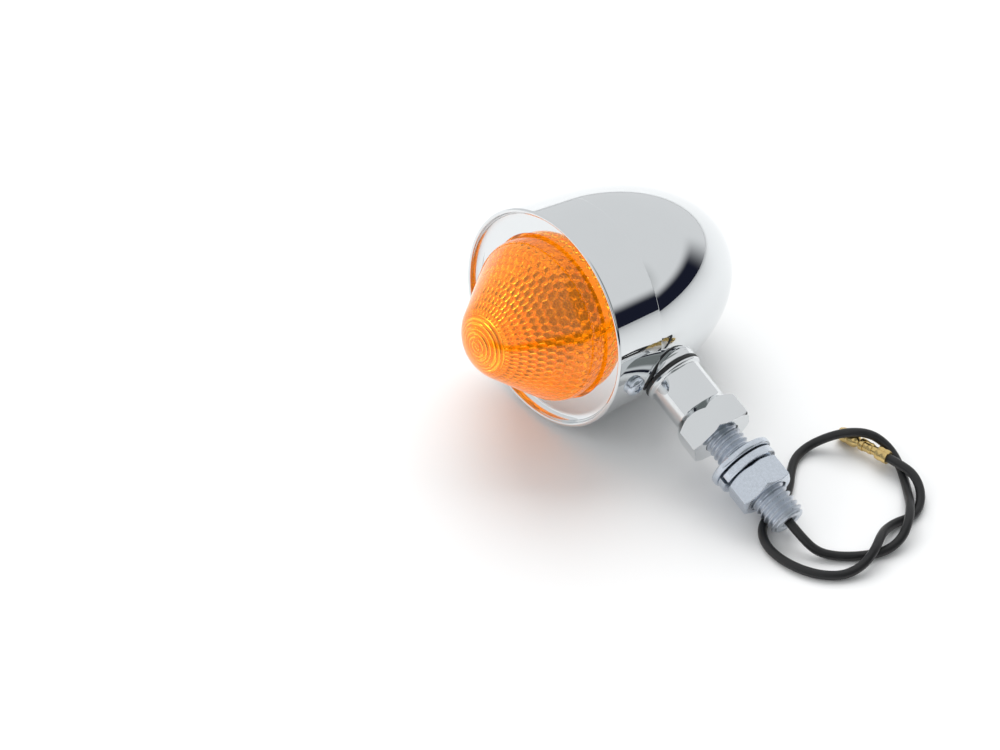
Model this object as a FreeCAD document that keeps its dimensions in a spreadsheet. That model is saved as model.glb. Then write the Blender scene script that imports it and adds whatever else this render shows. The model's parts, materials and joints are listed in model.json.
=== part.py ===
import FreeCAD, Part
import math
import os
import re

import Sketcher

# Bullet-shaped turn signal lamp on a short hollow stem.
#
# Every piece is drawn in the lamp's own layout: the X axis is the axis of the bullet and
# points out of the lens, the stem runs down -Z from the bullet's axis, and "down the stem"
# means a distance below that axis. Each piece then gets one common Placement, which lays
# the lamp on a flat surface the way it rests: on the belly of the housing and, near the end
# of the stud, on its own lead, with the lens tipped up until it balances. In that frame
# +X is the way the lens looks, +Y the way the stem runs, +Z up, and the origin is below
# the middle of the lamp.

Vector = FreeCAD.Vector
SHEET_NAME = "Sizes"

# alias, size in millimetres (degrees where the note says so) or a formula, note
SIZES = [
    # housing
    ("shell_radius", 28.4, "housing: outside radius at its mouth"),
    ("shell_length", 46.0, "housing: from the mouth to the tip of the tail"),
    ("shell_wall", 2.4, "housing: wall of the dome"),
    ("seam_x", 6.9, "housing: mouth, ahead of the stem's axis"),
    ("spigot_radius", 27.2, "housing: outside of the spigot inside the bezel"),
    ("spigot_wall", 1.9, "housing: wall of the spigot"),
    ("spigot_length", 9.9, "housing: spigot ahead of the mouth"),
    ("ledge_depth", 1.3, "housing: reflector ledge, back from the spigot's end"),
    ("ledge_width", 1.4, "housing: width of the reflector ledge"),
    ("boss_radius", 8.0, "housing: round boss that the stem seats on"),
    ("boss_rise", 0.5, "housing: flat face of the boss, clear of the shell's mouth"),
    ("boss_drop", "=shell_radius + boss_rise", "housing: that face, down the stem"),
    ("pad_radius", 9.4, "housing: flat pad inside, under the inner nut"),
    ("pad_thickness", 4.4, "housing: from the pad to the boss's face"),
    # bezel
    ("bezel_length", 15.5, "bezel: from the seam to the rim"),
    ("bezel_back_radius", 28.9, "bezel: outside radius at the seam"),
    ("bezel_front_radius", 29.8, "bezel: outside radius at the rim"),
    ("bezel_fit", 0.15, "bezel: clearance on the housing's spigot"),
    ("rim_round", 0.55, "bezel: radius of the rolled rim"),
    ("dish_depth", 2.5, "bezel: depth of the polished dish inside the rim"),
    ("lip_thickness", 1.2, "bezel: lip that holds the lens's flange"),
    # lens
    ("lens_radius", 21.8, "lens: outside radius of its barrel"),
    ("lens_gap", 0.6, "lens: gap to the bezel's lip"),
    ("lens_wall", 1.8, "lens: wall"),
    ("lens_tip", 45.5, "lens: tip, ahead of the stem's axis"),
    ("lens_tip_radius", 13.0, "lens: radius of the rounded tip"),
    ("lens_slope", 37.0, "lens: slope of the cone to the axis, degrees"),
    ("lens_shoulder", 6.0, "lens: radius between barrel and cone"),
    ("lens_flange", 24.9, "lens: radius of its flange"),
    ("lens_flange_thickness", 1.6, "lens: thickness of its flange"),
    ("gasket_inside", 22.4, "lens gasket: inside radius"),
    # reflector and socket
    ("sheet_gauge", 0.8, "reflector: thickness of its flange"),
    ("bowl_gauge", 0.6, "reflector: thickness of the bowl's back"),
    ("bowl_mouth", 17.4, "reflector: radius of the bowl's mouth"),
    ("bowl_back_x", 2.0, "reflector: back face, ahead of the stem's axis"),
    ("bowl_back_radius", 12.0, "reflector: radius of the bowl's flat back"),
    ("bowl_hole", 8.5, "reflector: radius of the hole for the socket"),
    ("socket_fit", 0.08, "socket: clearance around the bulb's cap"),
    ("socket_wall", 0.6, "socket: wall of the shell"),
    ("socket_mouth", 3.0, "socket: mouth, ahead of the reflector's back"),
    ("socket_length", 20.4, "socket: length of the shell"),
    ("socket_flange", 11.8, "socket: radius of its mounting flange"),
    ("rivet_circle", 10.2, "socket rivets: radius of their circle"),
    ("rivet_radius", 0.8, "socket rivets: shank"),
    ("rivet_head", 1.4, "socket rivets: head radius"),
    ("rivet_head_height", 0.5, "socket rivets: head height"),
    ("slot_gap", 0.15, "socket: clearance of the bayonet slots"),
    ("slot_turn", 4.0, "socket: sideways leg of the bayonet slots"),
    # bulb
    ("cap_radius", 7.5, "bulb: radius of the bayonet cap"),
    ("cap_length", 13.0, "bulb: length of the cap"),
    ("cap_gauge", 0.6, "bulb: metal of the cap"),
    ("cap_x", -5.5, "bulb: bottom of the cap, from the stem's axis"),
    ("pin_radius", 1.0, "bulb: radius of a bayonet pin"),
    ("pin_reach", 8.15, "bulb: how far the pins reach out"),
    ("pin_from_bottom", 5.3, "bulb: pins, ahead of the cap's bottom"),
    ("bulb_radius", 9.25, "bulb: radius of the glass ball"),
    ("bulb_neck", 6.8, "bulb: radius of the glass neck"),
    ("bulb_centre_x", 18.0, "bulb: middle of the glass ball"),
    ("bulb_wall", 0.7, "bulb: glass"),
    ("bead_height", 1.7, "bulb: black glass under the cap"),
    ("solder_radius", 2.0, "bulb: bottom contact"),
    ("solder_height", 1.0, "bulb: bottom contact below the glass"),
    ("filament_length", 5.0, "bulb: length of the filament"),
    ("filament_radius", 0.35, "bulb: radius of the coiled filament"),
    ("post_radius", 0.25, "bulb: wire that holds the filament"),
    ("push_travel", 2.0, "bulb: how far it pushes into the socket"),
    # spring contact
    ("contact_pad_height", 0.8, "spring contact: brass pad"),
    ("contact_pad_radius", 2.6, "spring contact: brass pad"),
    ("contact_disc_height", 1.2, "spring contact: insulating disc"),
    ("contact_disc_radius", 7.3, "spring contact: insulating disc"),
    ("coil_outside", 6.0, "spring: outside radius of the coil"),
    ("coil_wire", 1.0, "spring: thickness of the coil"),
    ("coil_length", 4.0, "spring: length with the bulb fitted"),
    ("rear_cap_height", 1.0, "socket's rear cap: thickness"),
    # stem
    ("stud_radius", 5.0, "stud: M10 thread, outside radius"),
    ("stud_bore", 2.3, "stud: radius of the bore for the lead"),
    ("stud_reach", 50.2, "stud: free end, beyond the boss"),
    ("stud_end", "=boss_drop + stud_reach", "stud: free end, down the stem"),
    ("stud_inside", 11.4, "stud: inner end, inside the boss's face"),
    ("stud_start", "=boss_drop - stud_inside", "stud: inner end, down the stem"),
    ("stud_chamfer", 0.6, "stud: chamfer at both ends"),
    ("swivel_fit", 0.08, "stud: clearance in the housing's hole"),
    ("swivel_gap", 0.05, "stem: gap each side of the swivelling housing"),
    ("inner_nut_height", 5.0, "inner nut: height"),
    ("nut_flats", 14.0, "both nuts: across the flats"),
    ("lock_washer_height", 0.75, "inner lock washer: thickness"),
    ("lock_washer_radius", 8.0, "inner lock washer: outside radius"),
    ("nut_room", 0.5, "housing: room around the inner lock washer"),
    ("washer_fit", 0.25, "washers: clearance on the stud"),
    ("neck_gasket_height", 1.0, "neck gasket: thickness"),
    ("neck_gasket_radius", 8.2, "neck gasket: outside radius"),
    ("flange_height", 0.8, "stay: flange under the gasket"),
    ("flange_radius", 8.15, "stay: flange under the gasket"),
    ("post_outside", 7.35, "stay: radius of the round post"),
    ("hex_flats", 17.0, "stay: across the flats of its hexagon"),
    ("post_reach", 13.1, "stay: foot of the round post, beyond the boss"),
    ("hex_start", "=boss_drop + post_reach", "stay: foot of the round post, down the stem"),
    ("hex_cone", 2.6, "stay: height of the cone from post to hexagon"),
    ("hex_height", 8.9, "stay: hexagon with its cone"),
    ("hex_end", "=hex_start + hex_height", "stay: seat at the end of the hexagon"),
    ("bracket_room", 7.0, "flat washer: from the stay's seat to its near face"),
    ("flat_washer_start", "=hex_end + bracket_room", "flat washer: near face, down the stem"),
    ("flat_washer_height", 2.0, "flat washer: thickness"),
    ("flat_washer_radius", 8.8, "flat washer: outside radius"),
    ("flat_washer_round", 0.7, "flat washer: rounding of its rim"),
    ("spring_washer_height", 2.8, "spring washer: height as it lies"),
    ("spring_washer_radius", 8.2, "spring washer: outside radius"),
    ("spring_washer_split", 1.4, "spring washer: width of the split"),
    ("nut_gap", 0.1, "mounting nut: gap to the spring washer"),
    ("nut_height", 7.6, "mounting nut: height"),
    ("nut_fit", 0.05, "mounting nut: clearance on the stud"),
    ("nut_turned", 3.0, "mounting nut: how its flats are turned, degrees"),
    # bezel screw
    ("screw_radius", 1.5, "bezel screw: M3 shank"),
    ("screw_hole", 1.7, "bezel screw: radius of the bezel's hole"),
    ("screw_x", 15.2, "bezel screw: ahead of the stem's axis"),
    ("screw_turn", 8.0, "bezel screw: round from the stem, degrees"),
    ("screw_head", 2.75, "bezel screw: radius of the head"),
    ("screw_head_height", 2.0, "bezel screw: height of the head"),
    # how it lies
    ("lens_lift", 8.2, "at rest: how far the lens tips up, degrees"),
    # lead and its terminal
    ("lead_radius", 1.2, "lead: outside radius of its insulation"),
    ("lead_joint", 1.0, "lead: joint above the stud's inner end"),
    ("lead_start", "=stud_start - lead_joint", "lead: that joint, down the stem"),
    ("plug_radius", 1.95, "bullet terminal: radius of the barrel"),
    ("plug_barrel", 6.0, "bullet terminal: length of the barrel"),
    ("plug_neck", 1.25, "bullet terminal: radius of the neck"),
    ("plug_length", 16.0, "bullet terminal: whole length"),
    ("plug_crimp", 1.7, "bullet terminal: radius of the wire crimp"),
    ("plug_grip", 3.4, "bullet terminal: length of the insulation grip"),
    ("lead_straight", 4.7, "lead: straight out of the stud"),
    ("lead_before_end", 6.4, "lead: where it passes under the stud, before its end"),
    ("lead_crossing", "=stud_end - lead_before_end", "lead: that place, down the stem"),
    ("lead_gap", 0.2, "lead: gap to the stud where it passes under"),
]
NAMES = {row[0] for row in SIZES}

# The free lead's route: x and y from the stud's end, and the height above the surface.
LEAD_ROUTE = [
    (-0.9, 9.4, 2.0), (-4.3, 13.2, 1.2), (-9.2, 17.0, 1.2),
    (-14.8, 19.8, 1.3), (-20.2, 20.2, 2.4), (-24.6, 18.2, 4.4), (-28.8, 14.8, 4.4),
    (-32.4, 11.0, 2.3), (-36.0, 6.6, 1.2), (-39.0, 1.6, 1.7), (-40.2, -3.6, 3.5),
    (-38.5, -8.6, 5.7), (-34.4, -12.6, 6.0), (-30.2, -16.4, 3.7), (-25.0, -18.6, 1.6),
    (-19.6, -17.8, 1.2), (-15.2, -14.6, 1.2), (-10.7, -10.6, 1.2), (-5.4, -8.2, 1.2),
    (0.2, -7.4, 1.2), (4.6, -5.0, 1.2), (7.2, -0.4, 1.2), (7.4, 5.0, 1.2),
    (6.0, 10.3, 1.2), (3.2, 15.2, 1.2), (-1.2, 18.9, 1.2), (-6.4, 20.3, 2.4),
    (-11.1, 19.5, 4.4), (-15.4, 17.2, 4.4), (-19.6, 15.2, 2.4), (-24.2, 14.5, 1.2),
    (-28.6, 15.8, 1.2), (-32.9, 14.7, 1.4), (-36.2, 11.7, 2.6), (-37.8, 7.6, 4.0),
    (-37.5, 3.2, 4.3), (-37.0, -1.0, 3.8),
]

document = FreeCAD.newDocument("turn_signal")
sheet = document.addObject("Spreadsheet::Sheet", SHEET_NAME)
for number, (alias, amount, note) in enumerate(SIZES, start=1):
    sheet.set(f"A{number}", note)
    sheet.set(f"B{number}", str(amount))
    sheet.setAlias(f"B{number}", alias)
document.recompute()


# ---------------------------------------------------------------- helpers

def bound(expression):
    """The expression with each size's name written as the sheet's cell."""
    return re.sub(r"[a-z]\w*",
                  lambda word: f"{SHEET_NAME}.{word[0]}" if word[0] in NAMES else word[0],
                  expression)


def worth(expression):
    """What an expression of sizes comes to now."""
    return float(sheet.evalExpression(bound(expression)))


def tie(thing, **properties):
    """Bind each property of a document object to an expression of sizes."""
    for name, expression in properties.items():
        thing.setExpression(name, bound(expression))


def origin_plane(body, role):
    """One of the body's own origin planes."""
    return next(plane for plane in body.Origin.OriginFeatures if plane.Role == role)


def new_body(label):
    body = document.addObject("PartDesign::Body", label)
    body.Label = label
    return body


def new_sketch(body, name, role="XZ_Plane"):
    """An empty sketch on one of the body's origin planes."""
    sketch = body.newObject("Sketcher::SketchObject", name)
    sketch.AttachmentSupport = [(origin_plane(body, role), "")]
    sketch.MapMode = "FlatFace"
    return sketch


def pin_down(sketch, edge, end, corner):
    """Hold one end of an edge at a corner whose two places are expressions."""
    for kind, expression in zip(("DistanceX", "DistanceY"), corner):
        rule = sketch.addConstraint(
            Sketcher.Constraint(kind, -1, 1, edge, end, worth(expression)))
        sketch.setExpression(f"Constraints[{rule}]", bound(expression))


def arc_middle(start, end, radius):
    """Middle of the arc from start to end; a negative radius bulges to the left."""
    chord = end - start
    side = Vector(chord.y, -chord.x, 0).normalize()
    rise = abs(radius) - math.sqrt(radius ** 2 - (chord.Length / 2) ** 2)
    return (start + end) * 0.5 + side * math.copysign(rise, radius)


def outline(sketch, corners):
    """A closed outline. Each corner is (x, y) or (x, y, radius of the arc to the next)."""
    places = [Vector(worth(corner[0]), worth(corner[1]), 0) for corner in corners]
    edges = []
    for index, corner in enumerate(corners):
        start, end = places[index], places[(index + 1) % len(places)]
        if len(corner) == 2:
            edges.append((sketch.addGeometry(Part.LineSegment(start, end), False), 1, 2))
            continue
        radius = worth(corner[2])
        middle = arc_middle(start, end, radius)
        if radius < 0:
            edge = sketch.addGeometry(Part.Arc(end, middle, start), False)
            edges.append((edge, 2, 1))
        else:
            edge = sketch.addGeometry(Part.Arc(start, middle, end), False)
            edges.append((edge, 1, 2))
        rule = sketch.addConstraint(Sketcher.Constraint("Radius", edge, abs(radius)))
        sketch.setExpression(f"Constraints[{rule}]", bound(f"abs({corner[2]})"))
    for index, (edge, head, tail) in enumerate(edges):
        following = edges[(index + 1) % len(edges)]
        sketch.addConstraint(
            Sketcher.Constraint("Coincident", edge, tail, following[0], following[1]))
        pin_down(sketch, edge, head, corners[index][:2])


def turned_body(label, corners, axis="H_Axis"):
    """A body turned from one outline; H_Axis is the bullet's axis, V_Axis the stem's."""
    body = new_body(label)
    sketch = new_sketch(body, f"{label}_profile")
    outline(sketch, corners)
    turning = body.newObject("PartDesign::Revolution", f"{label}_turned")
    turning.Profile = sketch
    turning.ReferenceAxis = (sketch, [axis])
    turning.Angle = 360
    body.Tip = turning
    return body


def ring(label, inside, outside, start, height):
    """A plain ring round the stem, from start to start + height down the stem."""
    return turned_body(label, [
        (inside, f"-({start})"),
        (outside, f"-({start})"),
        (outside, f"-({start}) - ({height})"),
        (inside, f"-({start}) - ({height})"),
    ], "V_Axis")


def mill_hexagon(body, flats, start, height, reach, turned="0"):
    """Mill a turned body to a hexagon between two places down the stem."""
    sketch = new_sketch(body, f"{body.Name}_flats", "XY_Plane")
    tie(sketch, **{"AttachmentOffset.Base.z": f"-({start}) - ({height})"})
    outline(sketch, [(f"({flats})/(2*cos(30))*cos({60 * side} + {turned})",
                      f"({flats})/(2*cos(30))*sin({60 * side} + {turned})")
                     for side in range(6)])
    circle = sketch.addGeometry(Part.Circle(Vector(), Vector(0, 0, 1), worth(reach)), False)
    sketch.addConstraint(Sketcher.Constraint("Coincident", circle, 3, -1, 1))
    rule = sketch.addConstraint(Sketcher.Constraint("Radius", circle, worth(reach)))
    sketch.setExpression(f"Constraints[{rule}]", bound(reach))
    milling = body.newObject("PartDesign::Pocket", f"{body.Name}_milled")
    milling.Profile = sketch
    milling.Reversed = True
    tie(milling, Length=height)
    body.Tip = milling
    return body


def cylinder(name, radius, height, base=("0", "0", "0"), direction=Vector(0, 0, 1)):
    """A Part cylinder from a base point, along a fixed direction."""
    solid = document.addObject("Part::Cylinder", name)
    tie(solid, Radius=radius, Height=height)
    solid.Placement.Rotation = FreeCAD.Rotation(Vector(0, 0, 1), direction)
    tie(solid, **{f"Placement.Base.{axis}": place for axis, place in zip("xyz", base)})
    return solid


def half_dome(name, length, radius):
    """The back half of an ellipsoid about the bullet's axis, from the housing's mouth."""
    dome = document.addObject("Part::Ellipsoid", name)
    dome.Angle1 = -90
    dome.Angle2 = 0
    tie(dome, Radius1=length, Radius2=radius, Radius3=radius)
    dome.Placement.Rotation = FreeCAD.Rotation(Vector(0, 1, 0), 90)
    tie(dome, **{"Placement.Base.x": "seam_x"})
    return dome


def block(name, low, high):
    """A Part box between two corners."""
    box = document.addObject("Part::Box", name)
    for axis, side, start, end in zip("xyz", ("Length", "Width", "Height"), low, high):
        tie(box, **{side: f"({end}) - ({start})", f"Placement.Base.{axis}": start})
    return box


def joined(label, pieces, kind="Part::MultiFuse"):
    """One object from several: fused, or held together as a compound."""
    result = document.addObject(kind, label)
    result.Label = label
    if kind == "Part::Compound":
        result.Links = pieces
    else:
        result.Shapes = pieces
    return result


def cut(label, base, tool):
    result = document.addObject("Part::Cut", label)
    result.Label = label
    result.Base = base
    result.Tool = tool
    return result


# ---------------------------------------------------------------- how the lamp lies

lift = math.radians(worth("lens_lift"))
reach_of_dome = math.hypot(worth("shell_length") * math.sin(lift),
                           worth("shell_radius") * math.cos(lift))
reach_of_bezel = worth("bezel_back_radius") * math.cos(lift)
belly = max(reach_of_dome, reach_of_bezel) - worth("seam_x") * math.sin(lift)
stud_drop = worth("lead_crossing")
stud_corner = math.atan(worth("stud_radius") / stud_drop)
stud_diagonal = math.hypot(worth("stud_radius"), stud_drop)
lead_room = worth("2*lead_radius + lead_gap")
slope = math.asin((belly - lead_room) / stud_diagonal) - stud_corner

up = Vector(math.sin(lift), 0, math.sin(slope))
up.y = math.sqrt(1 - up.x ** 2 - up.z ** 2)
ahead = (Vector(1, 0, 0) - up * up.x).normalize()
along = up.cross(ahead)
lying = FreeCAD.Rotation(ahead, along, up, "ZXY").inverted()


# ---------------------------------------------------------------- housing and bezel

def make_housing():
    spigot_end = "seam_x + spigot_length"
    ledge = "seam_x + spigot_length - ledge_depth"
    solid = joined("housing_blank", [
        half_dome("housing_outside", "shell_length", "shell_radius"),
        cylinder("housing_spigot", "spigot_radius", "spigot_length + shell_wall",
                 ("seam_x - shell_wall", "0", "0"), Vector(1, 0, 0)),
        cylinder("housing_boss", "boss_radius", "pad_thickness",
                 ("0", "0", "-boss_drop")),
    ])
    hollow = joined("housing_hollow", [
        half_dome("housing_inside", "shell_length - shell_wall",
                  "shell_radius - shell_wall"),
        cylinder("housing_throat", "spigot_radius - spigot_wall - ledge_width",
                 "spigot_length", ("seam_x", "0", "0"), Vector(1, 0, 0)),
        cylinder("housing_mouth", "spigot_radius - spigot_wall", "ledge_depth + 1",
                 (ledge, "0", "0"), Vector(1, 0, 0)),
        cylinder("housing_clear", "spigot_radius - spigot_wall - ledge_width",
                 "spigot_length", (f"{spigot_end} - 2*spigot_length", "0", "0"),
                 Vector(1, 0, 0)),
    ])
    beyond_seam = cut(
        "housing_beyond_seam",
        cylinder("housing_seam_outside", "boss_drop + 1", "bezel_length", ("seam_x", "0", "0"),
                 Vector(1, 0, 0)),
        cylinder("housing_seam_inside", "spigot_radius", "bezel_length", ("seam_x", "0", "0"),
                 Vector(1, 0, 0)))
    pad = cylinder("housing_pad", "pad_radius", "pad_thickness", ("0", "0", "-boss_drop"))
    cavity = joined("housing_cavity", [
        cut("housing_hollow_over_pad", hollow, pad),
        cylinder("housing_nut_room", "lock_washer_radius + nut_room", "boss_drop/2",
                 ("0", "0", "-boss_drop + pad_thickness")),
        beyond_seam,
    ])
    holes = joined("housing_holes", [
        cylinder("housing_stud_hole", "stud_radius + swivel_fit", "pad_thickness + 2",
                 ("0", "0", "-boss_drop - 1")),
        screw_tool("housing_screw_hole", "screw_radius"),
    ])
    return cut("housing", cut("housing_shell", solid, cavity), holes)


def screw_tool(name, radius):
    """A cylinder on the bezel screw's axis, through bezel and spigot."""
    turn = math.radians(worth("screw_turn"))
    outward = Vector(0, -math.sin(turn), -math.cos(turn))
    return cylinder(name, radius, "bezel_front_radius",
                    ("screw_x",
                     "-(spigot_radius - spigot_wall - ledge_width - 1)*sin(screw_turn)",
                     "-(spigot_radius - spigot_wall - ledge_width - 1)*cos(screw_turn)"), outward)


def make_bezel():
    front = "seam_x + bezel_length"
    dish_floor = f"{front} - dish_depth"
    dish_round = "(dish_depth - rim_round)"
    lip_back = f"{dish_floor} - lip_thickness"
    lip_inside = "lens_radius + lens_gap"
    wall_inside = "spigot_radius + bezel_fit"
    flange_room = "lens_flange + bezel_fit"
    spigot_end = "seam_x + spigot_length"
    blank = turned_body("bezel_blank", [
        ("seam_x", "bezel_back_radius"),
        (f"{front} - rim_round", "bezel_front_radius", "-rim_round*1.001"),
        (f"{front} - rim_round", "bezel_front_radius - 2*rim_round", f"{dish_round}*1.001"),
        (dish_floor, f"bezel_front_radius - 2*rim_round - {dish_round}"),
        (dish_floor, lip_inside),
        (lip_back, lip_inside),
        (lip_back, flange_room),
        (f"{spigot_end} + 0.3", flange_room),
        (f"{spigot_end} + 0.3", wall_inside),
        ("seam_x", wall_inside),
    ])
    return cut("visor_bezel", blank, screw_tool("bezel_screw_hole", "screw_hole"))


def bezel_wall_at_screw():
    """Outside radius of the bezel where the screw goes in."""
    return ("(bezel_back_radius + (bezel_front_radius - bezel_back_radius)"
            "*(screw_x - seam_x)/bezel_length)")


def make_bezel_screw():
    """Cross-recess pan-head screw, drawn down -Z and turned to its place in the rim."""
    seat = bezel_wall_at_screw()
    tip = "spigot_radius - spigot_wall + 0.2"
    screw = turned_body("bezel_screw", [
        ("0", f"-({tip})"),
        ("screw_radius", f"-({tip})"),
        ("screw_radius", f"-({seat})"),
        ("screw_head", f"-({seat})"),
        ("screw_head", f"-({seat}) - 0.35*screw_head_height", "-screw_head*1.15"),
        ("screw_head*0.45", f"-({seat}) - screw_head_height"),
        ("0", f"-({seat}) - screw_head_height"),
    ], "V_Axis")
    return screw


# ---------------------------------------------------------------- lens

LENS_FLANGE_BACK = "(seam_x + bezel_length - dish_depth - lip_thickness - lens_flange_thickness)"


def make_lens():
    ball_centre = "(lens_tip - lens_tip_radius)"
    flange_back = LENS_FLANGE_BACK
    inner_tip = "(lens_tip_radius - lens_wall)"
    shoulder_x = (f"({ball_centre} + lens_tip_radius*sin(lens_slope)"
                  " - (lens_radius - lens_tip_radius*cos(lens_slope))/tan(lens_slope))")
    inner_shoulder_x = (f"({ball_centre} + {inner_tip}*sin(lens_slope) - (lens_radius"
                        f" - lens_wall - {inner_tip}*cos(lens_slope))/tan(lens_slope))")
    run = "(lens_shoulder*tan(lens_slope/2))"
    return turned_body("lens", [
        (flange_back, "lens_flange"),
        (f"{flange_back} + lens_flange_thickness", "lens_flange"),
        (f"{flange_back} + lens_flange_thickness", "lens_radius"),
        (f"{shoulder_x} - {run}", "lens_radius", "-lens_shoulder"),
        (f"{shoulder_x} + {run}*cos(lens_slope)", f"lens_radius - {run}*sin(lens_slope)"),
        (f"{ball_centre} + lens_tip_radius*sin(lens_slope)",
         "lens_tip_radius*cos(lens_slope)", "-lens_tip_radius"),
        ("lens_tip", "0"),
        ("lens_tip - lens_wall", "0", inner_tip),
        (f"{ball_centre} + {inner_tip}*sin(lens_slope)", f"{inner_tip}*cos(lens_slope)"),
        (inner_shoulder_x, "lens_radius - lens_wall"),
        (flange_back, "lens_radius - lens_wall"),
    ])


def make_lens_gasket():
    start = "(seam_x + spigot_length - ledge_depth + sheet_gauge)"
    return turned_body("lens_gasket", [
        (start, "gasket_inside"),
        (start, "lens_flange"),
        (LENS_FLANGE_BACK, "lens_flange"),
        (LENS_FLANGE_BACK, "gasket_inside"),
    ])


# ---------------------------------------------------------------- reflector and socket

def rivet_places():
    """Angles of the three socket rivets, and each one's (y, z) as expressions."""
    for turn in (30, 150, 270):
        yield turn, f"rivet_circle*cos({turn})", f"rivet_circle*sin({turn})"


def rivet_holes(name):
    return joined(name, [
        cylinder(f"{name}_{turn}", "rivet_radius", "4", ("bowl_back_x - 2", y, z),
                 Vector(1, 0, 0))
        for turn, y, z in rivet_places()])


def make_reflector():
    ledge = "(seam_x + spigot_length - ledge_depth)"
    blank = turned_body("reflector_blank", [
        (f"{ledge} + sheet_gauge", "lens_flange"),
        (ledge, "lens_flange"),
        (ledge, "bowl_mouth + bowl_gauge"),
        ("bowl_back_x", "bowl_back_radius + bowl_gauge"),
        ("bowl_back_x", "bowl_hole"),
        ("bowl_back_x + bowl_gauge", "bowl_hole"),
        ("bowl_back_x + bowl_gauge", "bowl_back_radius"),
        (f"{ledge} + sheet_gauge", "bowl_mouth"),
    ])
    return cut("reflector", blank, rivet_holes("reflector_rivet_holes"))


def bayonet_slot(side):
    """One J-shaped slot: entry leg, cross leg and the notch where the pin rests."""
    pin_x = "cap_x + pin_from_bottom"
    wide = "(pin_radius + slot_gap)"
    deep = f"{pin_x} - push_travel - {wide}"
    outer = "cap_radius + socket_fit + socket_wall + 0.05"
    inner = "cap_radius - 2.5"
    slot = joined(f"bayonet_slot_{side}", [
        block(f"slot_notch_{side}", (deep, inner, f"-{wide}"),
              (f"{pin_x} + {wide}", outer, wide)),
        block(f"slot_cross_{side}", (deep, inner, f"-{wide}"),
              (f"{deep} + 2*{wide}", outer, f"slot_turn + {wide}")),
        block(f"slot_entry_{side}", (deep, inner, f"slot_turn - {wide}"),
              ("bowl_back_x + socket_mouth + 1", outer, f"slot_turn + {wide}")),
    ])
    slot.Placement.Rotation = FreeCAD.Rotation(Vector(1, 0, 0), 180 * side)
    return slot


def make_socket_shell():
    mouth = "bowl_back_x + socket_mouth"
    inside = "cap_radius + socket_fit"
    outside = f"{inside} + socket_wall"
    blank = turned_body("socket_blank", [
        (f"{mouth} - socket_length", inside),
        (f"{mouth} - socket_length", outside),
        ("bowl_back_x - sheet_gauge", outside),
        ("bowl_back_x - sheet_gauge", "socket_flange"),
        ("bowl_back_x", "socket_flange"),
        ("bowl_back_x", outside),
        (mouth, outside),
        (mouth, inside),
    ])
    openings = joined("socket_openings", [
        bayonet_slot(0), bayonet_slot(1), rivet_holes("socket_rivet_holes")])
    return cut("socket_shell", blank, openings)


def make_socket_rivets():
    """Three separate rivets through the socket's flange and the reflector's back."""
    rivets = []
    grip_start = "bowl_back_x - sheet_gauge"
    grip = "sheet_gauge + bowl_gauge"
    for turn, y, z in rivet_places():
        along_x = Vector(1, 0, 0)
        rivets.append(joined(f"rivet_{turn}", [
            cylinder(f"rivet_shank_{turn}", "rivet_radius", grip, (grip_start, y, z), along_x),
            cylinder(f"rivet_tail_{turn}", "rivet_head", "rivet_head_height",
                     (f"{grip_start} - rivet_head_height", y, z), along_x),
            cylinder(f"rivet_front_{turn}", "rivet_head", "rivet_head_height",
                     ("bowl_back_x + bowl_gauge", y, z), along_x),
        ]))
    return joined("socket_rivets", rivets, "Part::Compound")


def spring_contact_places():
    """Faces along the bullet's axis, from the bulb's contact back to the rear cap."""
    places = {"tip": "(cap_x - bead_height - solder_height)"}
    places["pad"] = f"({places['tip']} - contact_pad_height)"
    places["disc"] = f"({places['pad']} - contact_disc_height)"
    places["coil"] = f"({places['disc']} - coil_length)"
    places["cap"] = f"({places['coil']} - rear_cap_height)"
    return places


def make_spring_contact():
    at = spring_contact_places()
    lead_end = f"({at['disc']} - push_travel - 0.4)"
    solid_disc = [("contact_pad", at["pad"], at["tip"], "contact_pad_radius"),
                  ("contact_disc", at["disc"], at["pad"], "contact_disc_radius"),
                  ("contact_lead", lead_end, at["disc"], "lead_radius/2")]
    made = [turned_body(label, [(back, "0"), (back, radius), (front, radius), (front, "0")])
            for label, back, front, radius in solid_disc]
    hollow_disc = [("contact_spring", at["coil"], at["disc"], "coil_outside - coil_wire",
                    "coil_outside"),
                   ("socket_rear_cap", at["cap"], at["coil"], "lead_radius + 0.4",
                    "cap_radius + socket_fit")]
    made += [turned_body(label, [(back, inside), (back, outside), (front, outside),
                                 (front, inside)])
             for label, back, front, inside, outside in hollow_disc]
    return made


# ---------------------------------------------------------------- bulb

def bayonet_pins(name, kind):
    """The two pins that stand out of the bulb's cap, one on each side."""
    return joined(name, [
        cylinder(f"{name}_{side}", "pin_radius", "pin_reach - cap_radius + cap_gauge",
                 ("cap_x + pin_from_bottom", f"{sign}*(cap_radius - cap_gauge)", "0"),
                 Vector(0, sign, 0))
        for side, sign in (("left", 1), ("right", -1))], kind)


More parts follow.
